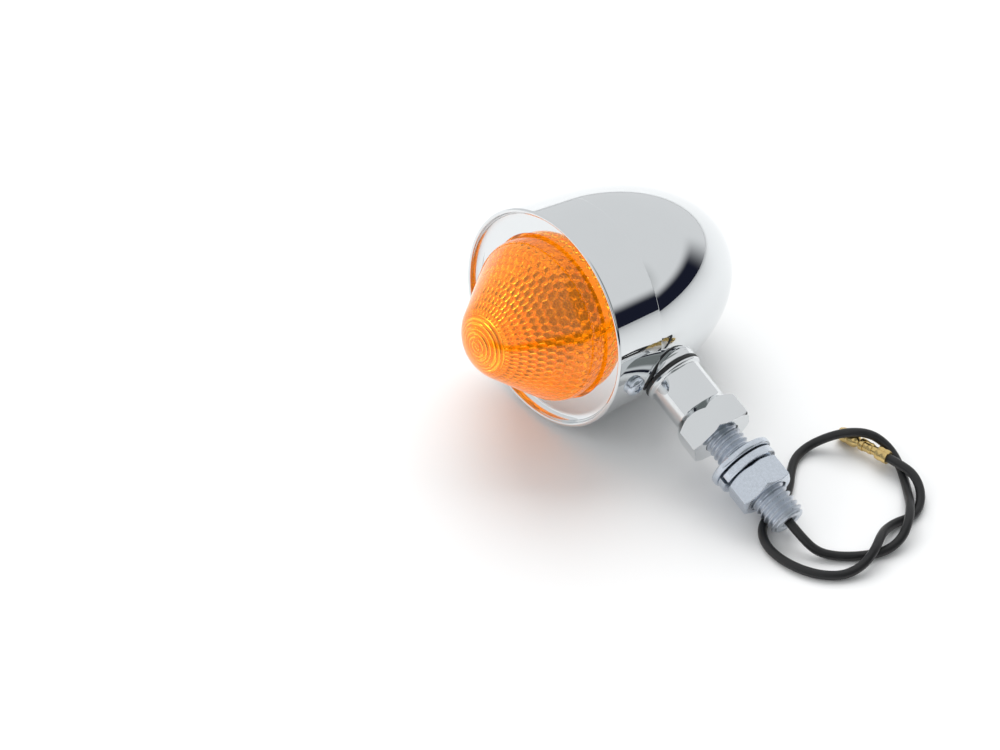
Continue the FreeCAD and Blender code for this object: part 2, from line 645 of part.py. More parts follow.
def make_bulb():
    top = "(cap_x + cap_length)"
    glass_foot = f"({top} - 3)"
    neck_x = "(bulb_centre_x - sqrt(bulb_radius^2 - bulb_neck^2))"
    inner = "(bulb_radius - bulb_wall)"
    inner_neck = "(bulb_neck - bulb_wall)"
    inner_neck_x = f"(bulb_centre_x - sqrt({inner}^2 - {inner_neck}^2))"
    cap_inside = "(cap_radius - cap_gauge)"
    bead_hole = "(cap_radius/2)"
    bead_end = "(cap_x - bead_height)"
    stem_top = f"({top} + 5)"
    made = [
        cut("bulb_cap", turned_body("bulb_cap_blank", [
            ("cap_x", bead_hole), ("cap_x", "cap_radius"), (top, "cap_radius"),
            (top, cap_inside), ("cap_x + cap_gauge", cap_inside),
            ("cap_x + cap_gauge", bead_hole)]), bayonet_pins("cap_pin_holes", "Part::MultiFuse")),
        bayonet_pins("bulb_pins", "Part::Compound"),
        turned_body("bulb_insulator", [
            (f"{bead_end} + 0.8", "0"), (f"{bead_end} + 0.8", "solder_radius"),
            (bead_end, "solder_radius"), (bead_end, "solder_radius + 1.2"),
            ("cap_x", "cap_radius - 0.9"), ("cap_x", bead_hole),
            ("cap_x + cap_gauge", bead_hole), ("cap_x + cap_gauge", "0")]),
        turned_body("bulb_contact", [
            (f"{bead_end} - solder_height", "0"),
            (f"{bead_end} - solder_height", "solder_radius/2", "-solder_radius"),
            (f"{bead_end} + 0.8 - solder_height", "solder_radius"),
            (f"{bead_end} + 0.8", "solder_radius"), (f"{bead_end} + 0.8", "0")]),
        turned_body("bulb_glass", [
            (glass_foot, "bulb_neck"), (neck_x, "bulb_neck", "-bulb_radius"),
            ("bulb_centre_x", "bulb_radius", "-bulb_radius"),
            ("bulb_centre_x + bulb_radius", "0"),
            (f"bulb_centre_x + {inner}", "0", inner), ("bulb_centre_x", inner, inner),
            (inner_neck_x, inner_neck), (glass_foot, inner_neck)]),
        turned_body("filament_stem", [
            (glass_foot, "0"), (glass_foot, f"{inner_neck} - 0.05"),
            (f"{glass_foot} + 1", f"{inner_neck} - 0.05"), (f"{top} - 0.5", "2.2"),
            (f"{stem_top} - 0.5", "1.8"), (stem_top, "1.2"), (stem_top, "0")]),
    ]
    posts = []
    for side, sign in (("upper", 1), ("lower", -1)):
        start = Vector(worth(f"{stem_top} - 1"), 0, sign * 1.1)
        end = Vector(worth("bulb_centre_x"), 0, sign * worth("filament_length/2"))
        post = cylinder(f"filament_post_{side}", "post_radius", str((end - start).Length),
                        (f"{stem_top} - 1", "0", f"{sign}*1.1"), end - start)
        posts.append(post)
    made.append(joined("filament_posts", posts, "Part::Compound"))
    coil = cylinder("filament_coil", "filament_radius", "filament_length",
                    ("bulb_centre_x", "0", "-filament_length/2"))
    made.append(joined("filament", [coil], "Part::Compound"))
    return made


# ---------------------------------------------------------------- stem and its hardware

def make_stay():
    """Round post with a flange, a cone and a hexagon, bored for the stud."""
    start = "(boss_drop + swivel_gap + neck_gasket_height)"
    corner = "(hex_flats/(2*cos(30)))"
    body = turned_body("stay", [
        ("stud_radius", f"-{start}"),
        ("flange_radius", f"-{start}"),
        ("flange_radius", f"-{start} - flange_height"),
        ("post_outside", f"-{start} - flange_height - (flange_radius - post_outside)/2"),
        ("post_outside", "-hex_start"),
        (corner, "-hex_start - hex_cone"),
        (corner, "-hex_end + 0.4"),
        (f"{corner} - 0.9", "-hex_end"),
        ("stud_radius", "-hex_end"),
    ], "V_Axis")
    return mill_hexagon(body, "hex_flats", "hex_start", "hex_end - hex_start + 1",
                        "hex_flats")


def make_stud():
    return turned_body("stud", [
        ("stud_bore", "-stud_start"),
        ("stud_radius - stud_chamfer", "-stud_start"),
        ("stud_radius", "-stud_start - stud_chamfer"),
        ("stud_radius", "-stud_end + stud_chamfer"),
        ("stud_radius - stud_chamfer", "-stud_end"),
        ("stud_bore", "-stud_end"),
    ], "V_Axis")


def make_nut(label, start, height, bore, turned):
    """A hexagon nut with both corners chamfered."""
    corner = "(nut_flats/(2*cos(30)))"
    relief = f"(({corner} - nut_flats/2 + 0.25)*tan(30))"
    end = f"({start}) + ({height})"
    body = turned_body(label, [
        (bore, f"-({start})"),
        ("nut_flats/2 - 0.25", f"-({start})"),
        (corner, f"-({start}) - {relief}"),
        (corner, f"-({end}) + {relief}"),
        ("nut_flats/2 - 0.25", f"-({end})"),
        (bore, f"-({end})"),
    ], "V_Axis")
    return mill_hexagon(body, "nut_flats", f"({start}) - 1", f"({height}) + 2", "nut_flats",
                        turned)


def make_stem_hardware():
    pad_drop = "(boss_drop - pad_thickness)"
    lock_start = f"({pad_drop} - swivel_gap - lock_washer_height)"
    hole = "stud_radius + washer_fit"
    spring_start = "(flat_washer_start + flat_washer_height)"
    nut_start = f"({spring_start} + spring_washer_height + nut_gap)"
    flat_end = spring_start
    flat = turned_body("flat_washer", [
        (hole, "-flat_washer_start"),
        ("flat_washer_radius - flat_washer_round", "-flat_washer_start",
         "-flat_washer_round"),
        ("flat_washer_radius", "-flat_washer_start - flat_washer_round"),
        ("flat_washer_radius", f"-{flat_end} + flat_washer_round", "-flat_washer_round"),
        ("flat_washer_radius - flat_washer_round", f"-{flat_end}"),
        (hole, f"-{flat_end}"),
    ], "V_Axis")
    spring_ring = ring("spring_washer_ring", hole, "spring_washer_radius", spring_start,
                       "spring_washer_height")
    split = block("spring_washer_gap", ("0", "-spring_washer_split/2", "-stud_end"),
                  ("spring_washer_radius + 1", "spring_washer_split/2", "0"))
    return [
        ring("neck_gasket", hole, "neck_gasket_radius", "boss_drop + swivel_gap",
             "neck_gasket_height"),
        ring("inner_lock_washer", hole, "lock_washer_radius", lock_start,
             "lock_washer_height"),
        make_nut("inner_nut", f"{lock_start} - inner_nut_height", "inner_nut_height",
                 "stud_radius", "0"),
        flat,
        cut("spring_washer", spring_ring, split),
        make_nut("mounting_nut", nut_start, "nut_height", "stud_radius + nut_fit",
                 "nut_turned"),
    ]


# ---------------------------------------------------------------- leads

def rounded_path(points):
    """Straight runs joined by the largest tangent arcs that the runs allow."""
    edges = []
    start = points[0]
    radii = []
    for before, corner, after in zip(points, points[1:], points[2:]):
        back = before - corner
        forward = after - corner
        half_turn = (math.pi - back.getAngle(forward)) / 2
        reach = 0.45 * min(back.Length, forward.Length)
        radii.append(reach / math.tan(half_turn))
        back.normalize()
        forward.normalize()
        inward = (back + forward).normalize()
        middle = corner + inward * radii[-1] * (1 / math.cos(half_turn) - 1)
        enter, leave = corner + back * reach, corner + forward * reach
        edges.append(Part.LineSegment(start, enter).toShape())
        edges.append(Part.Arc(enter, middle, leave).toShape())
        start = leave
    edges.append(Part.LineSegment(start, points[-1]).toShape())
    return Part.Wire(edges), radii


def swept_lead(label, points):
    """A round lead along a route, as one solid; prints its length and bends."""
    path, radii = rounded_path(points)
    radius = worth("lead_radius")
    heading = points[1] - points[0]
    section = Part.Wire(Part.Circle(points[0], heading, radius).toShape())
    solid = path.makePipeShell([section], True, False, 2)
    expected = math.pi * radius ** 2 * path.Length
    print(f"{label}: length {path.Length:.1f}, volume {solid.Volume:.1f} of {expected:.1f}, "
          f"radii {', '.join(f'{bend:.1f}' for bend in radii)}")
    lead = document.addObject("Part::Feature", label)
    lead.Label = label
    lead.Shape = solid
    return lead


def make_inside_leads():
    """The lead along the stud's bore, and the lead from the stud up into the socket."""
    in_stud = turned_body("lead_in_stud", [
        ("0", "-lead_start"), ("lead_radius", "-lead_start"),
        ("lead_radius", "-stud_end"), ("0", "-stud_end")], "V_Axis")
    at = spring_contact_places()
    low = -(worth("cap_radius + socket_fit + socket_wall + lead_radius") + 1.2)
    back = worth(at["cap"]) - 7.5
    end = worth(f"{at['disc']} - push_travel - 0.4")
    socket_lead = swept_lead("socket_lead", [
        Vector(0, 0, -worth("lead_start")),
        Vector(0, 0, -worth("lead_start") + 3.4),
        Vector(-4.2, 0, low + 0.2),
        Vector(-11.5, 0, low - 1.0),
        Vector(back + 1.5, 0, low + 0.6),
        Vector(back - 1.5, 0, low / 2),
        Vector(back + 1.5, 0, 0.0),
        Vector(end, 0, 0),
    ])
    return [in_stud, socket_lead]


def make_plug():
    """Brass bullet terminal, drawn along +X from the end of the lead."""
    barrel = "(plug_length - plug_barrel)"
    return turned_body("bullet_terminal", [
        ("0", "0"),
        ("0", "plug_crimp + 0.15"),
        ("plug_grip", "plug_crimp + 0.15"),
        ("plug_grip + 0.6", "plug_neck"),
        ("plug_grip + 1.8", "plug_neck"),
        ("plug_grip + 2.2", "plug_crimp*0.85"),
        (f"{barrel} - 2.4", "plug_crimp*0.85"),
        (f"{barrel} - 2.2", "plug_crimp"),
        (f"{barrel} - 1.2", "plug_crimp"),
        (f"{barrel} - 1.0", "plug_neck"),
        (f"{barrel} - 0.4", "plug_neck"),
        (f"{barrel} + 0.6", "plug_radius"),
        ("plug_length - 1.2", "plug_radius"),
        ("plug_length", "plug_radius*0.72"),
        ("plug_length", "plug_neck*0.7"),
        ("plug_length - 4", "plug_neck*0.7"),
        ("plug_length - 4", "0"),
    ])


# ---------------------------------------------------------------- the whole lamp

def check_built():
    """Stop if any object failed, or if a piece has no valid solid."""
    for thing in document.Objects:
        if "Invalid" in thing.State or "Error" in thing.State:
            raise RuntimeError(f"{thing.Label} did not build: {thing.State}")
    for piece in lamp_pieces:
        if piece.Shape.isNull() or not piece.Shape.Solids or not piece.Shape.isValid():
            raise RuntimeError(f"{piece.Label} is not a valid solid")


lamp_pieces = [
    make_housing(), make_bezel(), make_lens(), make_lens_gasket(), make_reflector(),
    make_socket_shell(), make_socket_rivets(), *make_spring_contact(), *make_bulb(),
    make_stay(), make_stud(), *make_stem_hardware(), *make_inside_leads(),
]
screw = make_bezel_screw()
document.recompute()
lamp_pieces.append(screw)
check_built()

pose = FreeCAD.Placement(Vector(), lying)
screw_turn = FreeCAD.Placement(Vector(worth("screw_x"), 0, 0),
                               FreeCAD.Rotation(Vector(1, 0, 0), -worth("screw_turn")))
box = FreeCAD.BoundBox()
for piece in lamp_pieces:
    own = screw_turn if piece is screw else FreeCAD.Placement()
    piece.Placement = pose * own * piece.Placement
    box.add(piece.Shape.optimalBoundingBox(False, False))
home = FreeCAD.Placement(Vector(-box.Center.x, -box.Center.y, belly), FreeCAD.Rotation())
for piece in lamp_pieces:
    piece.Placement = home * piece.Placement
document.recompute()

stud_tip = (home * pose).multVec(Vector(0, 0, -worth("stud_end")))
straight_out = (home * pose).multVec(Vector(0, 0, -worth("stud_end + lead_straight")))
route = [stud_tip, straight_out] + [Vector(stud_tip.x + x, stud_tip.y + y, z) for x, y, z in LEAD_ROUTE]
lead_wire = swept_lead("lead_wire", route)
plug = make_plug()
document.recompute()
plug.Placement = FreeCAD.Placement(
    route[-1], FreeCAD.Rotation(Vector(1, 0, 0), route[-1] - route[-2]))
lamp_pieces += [lead_wire, plug]
document.recompute()
check_built()

os.makedirs("parts", exist_ok=True)
for piece in lamp_pieces:
    piece.Shape.exportStep(f"parts/{piece.Label}.step")
    print(f"{piece.Label}: {len(piece.Shape.Solids)} solid(s), {piece.Shape.Volume:.1f} mm3")
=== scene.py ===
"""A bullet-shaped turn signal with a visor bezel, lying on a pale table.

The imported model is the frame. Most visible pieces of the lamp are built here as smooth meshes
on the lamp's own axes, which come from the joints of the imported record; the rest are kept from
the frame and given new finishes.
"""

import json
import logging
import math
from dataclasses import dataclass, field
from enum import Enum
from typing import Callable, Sequence

import bmesh
import bpy
from mathutils import Matrix, Vector


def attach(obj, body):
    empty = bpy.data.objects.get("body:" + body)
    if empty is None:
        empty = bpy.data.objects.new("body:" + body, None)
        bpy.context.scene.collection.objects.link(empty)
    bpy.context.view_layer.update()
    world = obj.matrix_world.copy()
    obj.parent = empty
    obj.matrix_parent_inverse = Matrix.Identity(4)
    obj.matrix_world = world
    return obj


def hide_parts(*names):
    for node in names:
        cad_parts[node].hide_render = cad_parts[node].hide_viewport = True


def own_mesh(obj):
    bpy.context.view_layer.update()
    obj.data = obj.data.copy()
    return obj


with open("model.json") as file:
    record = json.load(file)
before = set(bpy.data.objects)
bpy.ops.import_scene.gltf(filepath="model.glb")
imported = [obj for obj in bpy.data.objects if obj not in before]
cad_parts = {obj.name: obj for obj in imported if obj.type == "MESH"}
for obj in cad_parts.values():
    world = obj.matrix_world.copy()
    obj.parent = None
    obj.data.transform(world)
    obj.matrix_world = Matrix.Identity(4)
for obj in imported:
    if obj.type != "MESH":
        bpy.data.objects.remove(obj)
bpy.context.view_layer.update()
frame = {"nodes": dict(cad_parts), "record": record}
log = logging.getLogger("turn_signal")

MM = 0.001

Radius = float | Callable[[float], float]
Ring = tuple[Radius, Radius]


class Body(Enum):
    """The moving bodies of the lamp."""

    STAY = "stay"
    HEAD = "head"
    BULB = "bulb"
    WASHERS = "washers"
    NUT = "nut"


class Slot(Enum):
    """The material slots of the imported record."""

    CHROME = "chrome"
    LENS = "amber_lens"
    ZINC = "zinc_steel"
    SOCKET = "socket_steel"
    REFLECTOR = "reflector_silver"
    BRASS = "brass"
    RUBBER = "black_rubber"
    LAMINATE = "brown_laminate"
    GLASS = "clear_glass"
    BLACK_GLASS = "black_glass"
    TUNGSTEN = "tungsten"


# ---------------------------------------------------------------- the lamp's axes

@dataclass(frozen=True)
class LampAxes:
    """Where the lamp lies: its bullet axis and its stem axis, read from the joints.

    Lamp places are in millimetres: x along the bullet towards the lens, and down the stem.
    """

    boss_drop: float = 28.9

    def joint(self, name: str) -> dict:
        """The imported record's joint of that name."""
        joints = frame["record"]["behaviour"]["joints"]
        return next(joint for joint in joints if joint["name"] == name)

    def stem_direction(self) -> Vector:
        """Unit vector down the stem, towards the stud's free end."""
        return Vector(self.joint("head_swivel")["axis"]).normalized()

    def bullet_direction(self) -> Vector:
        """Unit vector along the bullet, towards the lens."""
        return -Vector(self.joint("bulb_push")["axis"]).normalized()

    def centre(self) -> Vector:
        """Where the stem's axis meets the bullet's axis, in metres."""
        foot = Vector(self.joint("head_swivel")["pos_m"])
        return foot - self.stem_direction() * self.boss_drop * MM

    def _matrix(self, along: Vector, across: Vector) -> Matrix:
        """A matrix whose local X is along and whose local Y is across, scaled from mm."""
        columns = (along, across, along.cross(across))
        turn = Matrix([[column[row] for column in columns] for row in range(3)])
        return Matrix.Translation(self.centre()) @ turn.to_4x4() @ Matrix.Scale(MM, 4)

    def bullet(self) -> Matrix:
        """Local X along the bullet, local Y down the stem."""
        return self._matrix(self.bullet_direction(), self.stem_direction())

    def stem(self) -> Matrix:
        """Local X down the stem, local Y towards the lens."""
        return self._matrix(self.stem_direction(), self.bullet_direction())


# ---------------------------------------------------------------- meshes

@dataclass(frozen=True)
class Corner:
    """One corner of a turned outline: place along the axis, radius and rounding, in mm."""

    along: float
    radius: float
    rounding: float = 0.0


def rounded_outline(corners: Sequence[Corner], steps: int = 6,
                    closed: bool = False) -> list[tuple[float, float]]:
    """Turn corners into points, each rounded corner as a short arc.

    Args:
        corners: the outline's corners in order.
        steps: pieces of each arc.
        closed: whether the last corner joins the first.

    Returns:
        The outline's points as (along, radius).
    """
    points: list[tuple[float, float]] = []
    count = len(corners)
    for index, corner in enumerate(corners):
        here = Vector((corner.along, corner.radius))
        if corner.rounding <= 0 or (not closed and index in (0, count - 1)):
            points.append((here.x, here.y))
            continue
        before = corners[index - 1]
        after = corners[(index + 1) % count]
        back = Vector((before.along, before.radius)) - here
        ahead = Vector((after.along, after.radius)) - here
        reach = min(corner.rounding, 0.48 * back.length, 0.48 * ahead.length)
        start = here + back.normalized() * reach
        end = here + ahead.normalized() * reach
        for step in range(steps + 1):
            share = step / steps
            bend = start * (1 - share) ** 2 + here * 2 * share * (1 - share) + end * share ** 2
            points.append((bend.x, bend.y))
    return points


def value_at(amount: Radius, turn: float) -> float:
    """A ring's size at that angle, whether it is a number or a function of the angle."""
    return amount(turn) if callable(amount) else amount


def finish_mesh(piece: bpy.types.Object, sharp: float = 30.0) -> None:
    """Shade a piece smooth between its sharp edges.

    Args:
        piece: the object to shade.
        sharp: angle in degrees above which an edge stays sharp.
    """
    piece.data.shade_smooth()
    piece.data.set_sharp_from_angle(angle=math.radians(sharp))
    weighted = piece.modifiers.new("even shading", "WEIGHTED_NORMAL")
    weighted.keep_sharp = True


def soften_edges(piece: bpy.types.Object, width: float, segments: int = 3) -> None:
    """Round a piece's sharp edges a little.

    Args:
        piece: the object to soften.
        width: width of the rounding in mm.
        segments: pieces of the rounding.
    """
    bevel = piece.modifiers.new("broken edges", "BEVEL")
    bevel.width = width * MM
    bevel.segments = segments
    bevel.limit_method = "ANGLE"
    bevel.angle_limit = math.radians(24)
    bevel.harden_normals = False


def skin(name: str, rings: Sequence[Ring], place: Matrix, segments: int = 128,
         closed: bool = False, turned: float = 0.0) -> bpy.types.Object:
    """A surface through rings about the local X axis.

    Args:
        name: the piece's name.
        rings: (along, radius) of each ring, each a number or a function of the angle.
        place: the matrix that puts the piece in the row frame.
        segments: points in each ring.
        closed: whether the last ring joins the first.
        turned: angle in radians of the first point.

    Returns:
        The new object.
    """
    verts: list[tuple[float, float, float]] = []
    starts: list[tuple[int, int]] = []
    for along, radius in rings:
        if not callable(radius) and radius <= 1e-9:
            starts.append((len(verts), 1))
            verts.append((value_at(along, 0.0), 0.0, 0.0))
            continue
        starts.append((len(verts), segments))
        for number in range(segments):
            turn = turned + 2 * math.pi * number / segments
            reach = value_at(radius, turn)
            verts.append((value_at(along, turn), reach * math.cos(turn), reach * math.sin(turn)))
    faces: list[tuple[int, ...]] = []
    pairs = list(zip(starts, starts[1:]))
    if closed:
        pairs.append((starts[-1], starts[0]))
    for (first, first_count), (second, second_count) in pairs:
        for number in range(segments):
            following = (number + 1) % segments
            if first_count == 1 and second_count == 1:
                continue
            if first_count == 1:
                faces.append((first, second + following, second + number))
            elif second_count == 1:
                faces.append((first + number, first + following, second))
            else:
                faces.append((first + number, first + following,
                              second + following, second + number))
    return mesh_piece(name, verts, faces, place)


def mesh_piece(name: str, verts: Sequence[Sequence[float]], faces: Sequence[Sequence[int]],
               place: Matrix) -> bpy.types.Object:
    """A mesh object in the scene with its faces turned outwards.

    Args:
        name: the piece's name.
        verts: its points in local mm.
        faces: its faces.
        place: the matrix that puts it in the row frame.

    Returns:
        The new object.
    """
    mesh = bpy.data.meshes.new(name)
    mesh.from_pydata([tuple(vert) for vert in verts], [], [tuple(face) for face in faces])
    mesh.validate()
    mesh.transform(place)
    piece = bpy.data.objects.new(name, mesh)
    bpy.context.scene.collection.objects.link(piece)
    turn_faces_outwards(mesh)
    return piece


def turn_faces_outwards(mesh: bpy.types.Mesh) -> None:
    """Make a mesh's faces point outwards."""
    work = bmesh.new()
    work.from_mesh(mesh)
    bmesh.ops.recalc_face_normals(work, faces=work.faces)
    work.to_mesh(mesh)
    work.free()
    mesh.update()


def turned(name: str, corners: Sequence[Corner], place: Matrix, segments: int = 128,
           closed: bool = True, steps: int = 6, sharp: float = 30.0) -> bpy.types.Object:
    """A turned piece with rounded corners.

    Args:
        name: the piece's name.
        corners: its outline.
        place: the matrix that puts it in the row frame.
        segments: points around it.
        closed: whether the outline closes on itself.
        steps: pieces of each rounded corner.
        sharp: angle in degrees above which an edge stays sharp.

    Returns:
        The new object.
    """
    piece = skin(name, rounded_outline(corners, steps, closed), place, segments, closed)
    finish_mesh(piece, sharp)
    return piece


def hexagon(flats: float, turned_by: float = 0.0) -> Callable[[float], float]:
    """The radius of a hexagon at an angle.

    Args:
        flats: size across the flats in mm.
        turned_by: angle in radians of one corner.

    Returns:
        A function from the angle in radians to the radius in mm.
    """
    def reach(turn: float) -> float:
        off = (turn - turned_by) % (math.pi / 3) - math.pi / 6
        return flats / 2 / math.cos(off)
    return reach


def tube_along(name: str, points: Sequence[Vector], radius: float, place: Matrix,
               sides: int = 16) -> bpy.types.Object:
    """A round wire through points.

    Args:
        name: the piece's name.
        points: its centre line in local mm.
        radius: the wire's radius in mm.
        place: the matrix that puts it in the row frame.
        sides: points around the wire.

    Returns:
        The new object.
    """
    verts: list[Vector] = []
    faces: list[tuple[int, ...]] = []
    across = Vector((0, 0, 1))
    for index, point in enumerate(points):
        along = (points[min(index + 1, len(points) - 1)] - points[max(index - 1, 0)]).normalized()
        across = (across - along * across.dot(along)).normalized()
        other = along.cross(across)
        for number in range(sides):
            turn = 2 * math.pi * number / sides
            verts.append(point + (across * math.cos(turn) + other * math.sin(turn)) * radius)
    for index in range(len(points) - 1):
        for number in range(sides):
            following = (number + 1) % sides
            faces.append((index * sides + number, index * sides + following,
                          (index + 1) * sides + following, (index + 1) * sides + number))
    faces.append(tuple(range(sides)))
    faces.append(tuple(range((len(points) - 1) * sides, len(points) * sides)))
    piece = mesh_piece(name, verts, faces, place)
    finish_mesh(piece, 50.0)
    return piece


# ---------------------------------------------------------------- shader groups

class ShaderGroups:
    """Node groups that more than one finish uses, each built once."""

    @staticmethod
    def fine_marks() -> bpy.types.NodeTree:
        """Handling marks: soft smudges and hair-fine scratches.

        Returns:
            A group with inputs Scale and Amount, and outputs Smudge, Scratch and Height.
        """
        name = "fine marks"
        if name in bpy.data.node_groups:
            return bpy.data.node_groups[name]
        group = bpy.data.node_groups.new(name, "ShaderNodeTree")
        scale = group.interface.new_socket("Scale", in_out="INPUT", socket_type="NodeSocketFloat")
        scale.default_value = 60.0
        amount = group.interface.new_socket("Amount", in_out="INPUT",
                                            socket_type="NodeSocketFloat")
        amount.default_value = 0.5
        for output in ("Smudge", "Scratch", "Height"):
            group.interface.new_socket(output, in_out="OUTPUT", socket_type="NodeSocketFloat")
        nodes, links = group.nodes, group.links
        entry = nodes.new("NodeGroupInput")
        result = nodes.new("NodeGroupOutput")
        place = nodes.new("ShaderNodeTexCoord")
        smudge = nodes.new("ShaderNodeTexNoise")
        smudge.inputs["Detail"].default_value = 3.0
        links.new(place.outputs["Object"], smudge.inputs["Vector"])
        links.new(entry.outputs["Scale"], smudge.inputs["Scale"])
        stretch = nodes.new("ShaderNodeMapping")
        stretch.inputs["Scale"].default_value = (1.0, 22.0, 3.0)
        stretch.inputs["Rotation"].default_value = (0.4, 0.7, 1.1)
        links.new(place.outputs["Object"], stretch.inputs["Vector"])
        scratch = nodes.new("ShaderNodeTexNoise")
        scratch.inputs["Detail"].default_value = 2.0
        links.new(stretch.outputs["Vector"], scratch.inputs["Vector"])
        links.new(entry.outputs["Scale"], scratch.inputs["Scale"])
        thin = nodes.new("ShaderNodeMapRange")
        thin.inputs["From Min"].default_value = 0.62
        thin.inputs["From Max"].default_value = 0.70
        links.new(scratch.outputs["Fac"], thin.inputs["Value"])
        weaker = nodes.new("ShaderNodeMath")
        weaker.operation = "MULTIPLY"
        links.new(thin.outputs["Result"], weaker.inputs[0])
        links.new(entry.outputs["Amount"], weaker.inputs[1])
        softer = nodes.new("ShaderNodeMath")
        softer.operation = "MULTIPLY"
        links.new(smudge.outputs["Fac"], softer.inputs[0])
        links.new(entry.outputs["Amount"], softer.inputs[1])
        height = nodes.new("ShaderNodeMath")
        height.operation = "SUBTRACT"
        links.new(softer.outputs["Value"], height.inputs[0])
        links.new(weaker.outputs["Value"], height.inputs[1])
        links.new(softer.outputs["Value"], result.inputs["Smudge"])
        links.new(weaker.outputs["Value"], result.inputs["Scratch"])
        links.new(height.outputs["Value"], result.inputs["Height"])
        return group


# ---------------------------------------------------------------- finishes

@dataclass(frozen=True)
class Finish:
    """A finish with fine marks on it: plated metal, rubber, laminate or glass.

    The marks' scale is per millimetre. The painted glow is emission, in the same colour as the
    wear, that brightens a part as if lit, though it is no lamp.
    """

    name: str
    colour: tuple[float, float, float]
    worn_and_glow_colour: tuple[float, float, float]
    roughness: float
    rougher: float
    metallic: float = 0.0
    transmission: float = 0.0
    ior: float = 1.5
    marks: float = 0.5
    marks_scale: float = 0.2
    bump: float = 0.0
    coat: float = 0.0
    painted_glow: float = 0.0

    def material(self) -> bpy.types.Material:
        """The finish as a material, built the first time it is asked for.

        Returns:
            The material.
        """
        if self.name in bpy.data.materials:
            return bpy.data.materials[self.name]
        material = bpy.data.materials.new(self.name)
        material.use_nodes = True
        nodes, links = material.node_tree.nodes, material.node_tree.links
        shader = nodes["Principled BSDF"]
        shader.inputs["Metallic"].default_value = self.metallic
        shader.inputs["Transmission Weight"].default_value = self.transmission
        shader.inputs["IOR"].default_value = self.ior
        shader.inputs["Coat Weight"].default_value = self.coat
        # Painted glow: emission in the wear colour, brightening the part as if lit though it is no
        # lamp.
        shader.inputs["Emission Color"].default_value = (*self.worn_and_glow_colour, 1)
        shader.inputs["Emission Strength"].default_value = self.painted_glow
        marks = nodes.new("ShaderNodeGroup")
        marks.node_tree = ShaderGroups.fine_marks()
        marks.inputs["Scale"].default_value = self.marks_scale / MM
        marks.inputs["Amount"].default_value = self.marks
        tint = nodes.new("ShaderNodeMix")
        tint.data_type = "RGBA"
        tint.inputs["A"].default_value = (*self.colour, 1)
        tint.inputs["B"].default_value = (*self.worn_and_glow_colour, 1)
        links.new(marks.outputs["Smudge"], tint.inputs["Factor"])
        links.new(tint.outputs["Result"], shader.inputs["Base Color"])
        rough = nodes.new("ShaderNodeMapRange")
        rough.inputs["To Min"].default_value = self.roughness
        rough.inputs["To Max"].default_value = self.rougher
        links.new(marks.outputs["Smudge"], rough.inputs["Value"])
        links.new(rough.outputs["Result"], shader.inputs["Roughness"])
        if self.bump > 0:
            bump = nodes.new("ShaderNodeBump")
            bump.inputs["Strength"].default_value = self.bump
            bump.inputs["Distance"].default_value = 0.0001
            links.new(marks.outputs["Height"], bump.inputs["Height"])
            links.new(bump.outputs["Normal"], shader.inputs["Normal"])
        return material


CHROME = Finish("bright chrome", (0.74, 0.76, 0.77), (0.68, 0.70, 0.71), 0.02, 0.06,
                metallic=1.0, marks=0.35, marks_scale=0.12)
ZINC = Finish("bluish zinc plate", (0.70, 0.76, 0.84), (0.56, 0.60, 0.66), 0.16, 0.34,
              metallic=1.0, marks=0.9, marks_scale=1.4, bump=0.15)
THREAD_ZINC = Finish("zinc plate on rolled thread", (0.66, 0.71, 0.78), (0.50, 0.53, 0.58),
                     0.20, 0.42, metallic=1.0, marks=0.9, marks_scale=2.0, bump=0.2)
STEEL = Finish("nickel-plated spring steel", (0.62, 0.62, 0.61), (0.48, 0.47, 0.45), 0.22, 0.4,
               metallic=1.0, marks=0.8, marks_scale=1.0, bump=0.1)
SILVER = Finish("silvered reflector", (0.93, 0.93, 0.93), (0.86, 0.86, 0.85), 0.05, 0.14,
                metallic=1.0, marks=0.5, marks_scale=0.3)
BRASS = Finish("stamped brass", (0.83, 0.63, 0.27), (0.62, 0.43, 0.17), 0.14, 0.34,
               metallic=1.0, marks=0.9, marks_scale=0.9, bump=0.15)
RUBBER = Finish("black lead insulation", (0.006, 0.006, 0.007), (0.014, 0.014, 0.015), 0.32, 0.48,
                marks=0.8, marks_scale=0.7, bump=0.2)
GASKET = Finish("black gasket rubber", (0.015, 0.016, 0.017), (0.035, 0.035, 0.036), 0.4, 0.6,
                marks=0.9, marks_scale=0.8, bump=0.4)
LAMINATE = Finish("brown laminate", (0.22, 0.12, 0.055), (0.13, 0.07, 0.035), 0.5, 0.7,
                  marks=0.9, marks_scale=1.2, bump=0.3)
CLEAR_GLASS = Finish("clear bulb glass", (0.97, 0.98, 0.98), (0.93, 0.95, 0.95), 0.0, 0.02,
                     transmission=1.0, ior=1.47, marks=0.4, marks_scale=0.3)
BLACK_GLASS = Finish("black bead glass", (0.012, 0.012, 0.014), (0.02, 0.02, 0.022), 0.08, 0.2,
                     marks=0.5, marks_scale=0.6, coat=0.3)
TUNGSTEN = Finish("tungsten wire", (0.42, 0.41, 0.40), (0.3, 0.29, 0.28), 0.3, 0.45,
                  metallic=1.0, marks=0.7, marks_scale=2.0)
# The amber lens has a painted glow: emission that makes it a brighter orange as if lit from within,
# though the bulb is not lit.
AMBER = Finish("amber lens plastic", (1.0, 0.56, 0.03), (1.0, 0.30, 0.005), 0.0, 0.03,
               transmission=0.95, painted_glow=0.13, ior=1.49, marks=0.3, marks_scale=0.2)


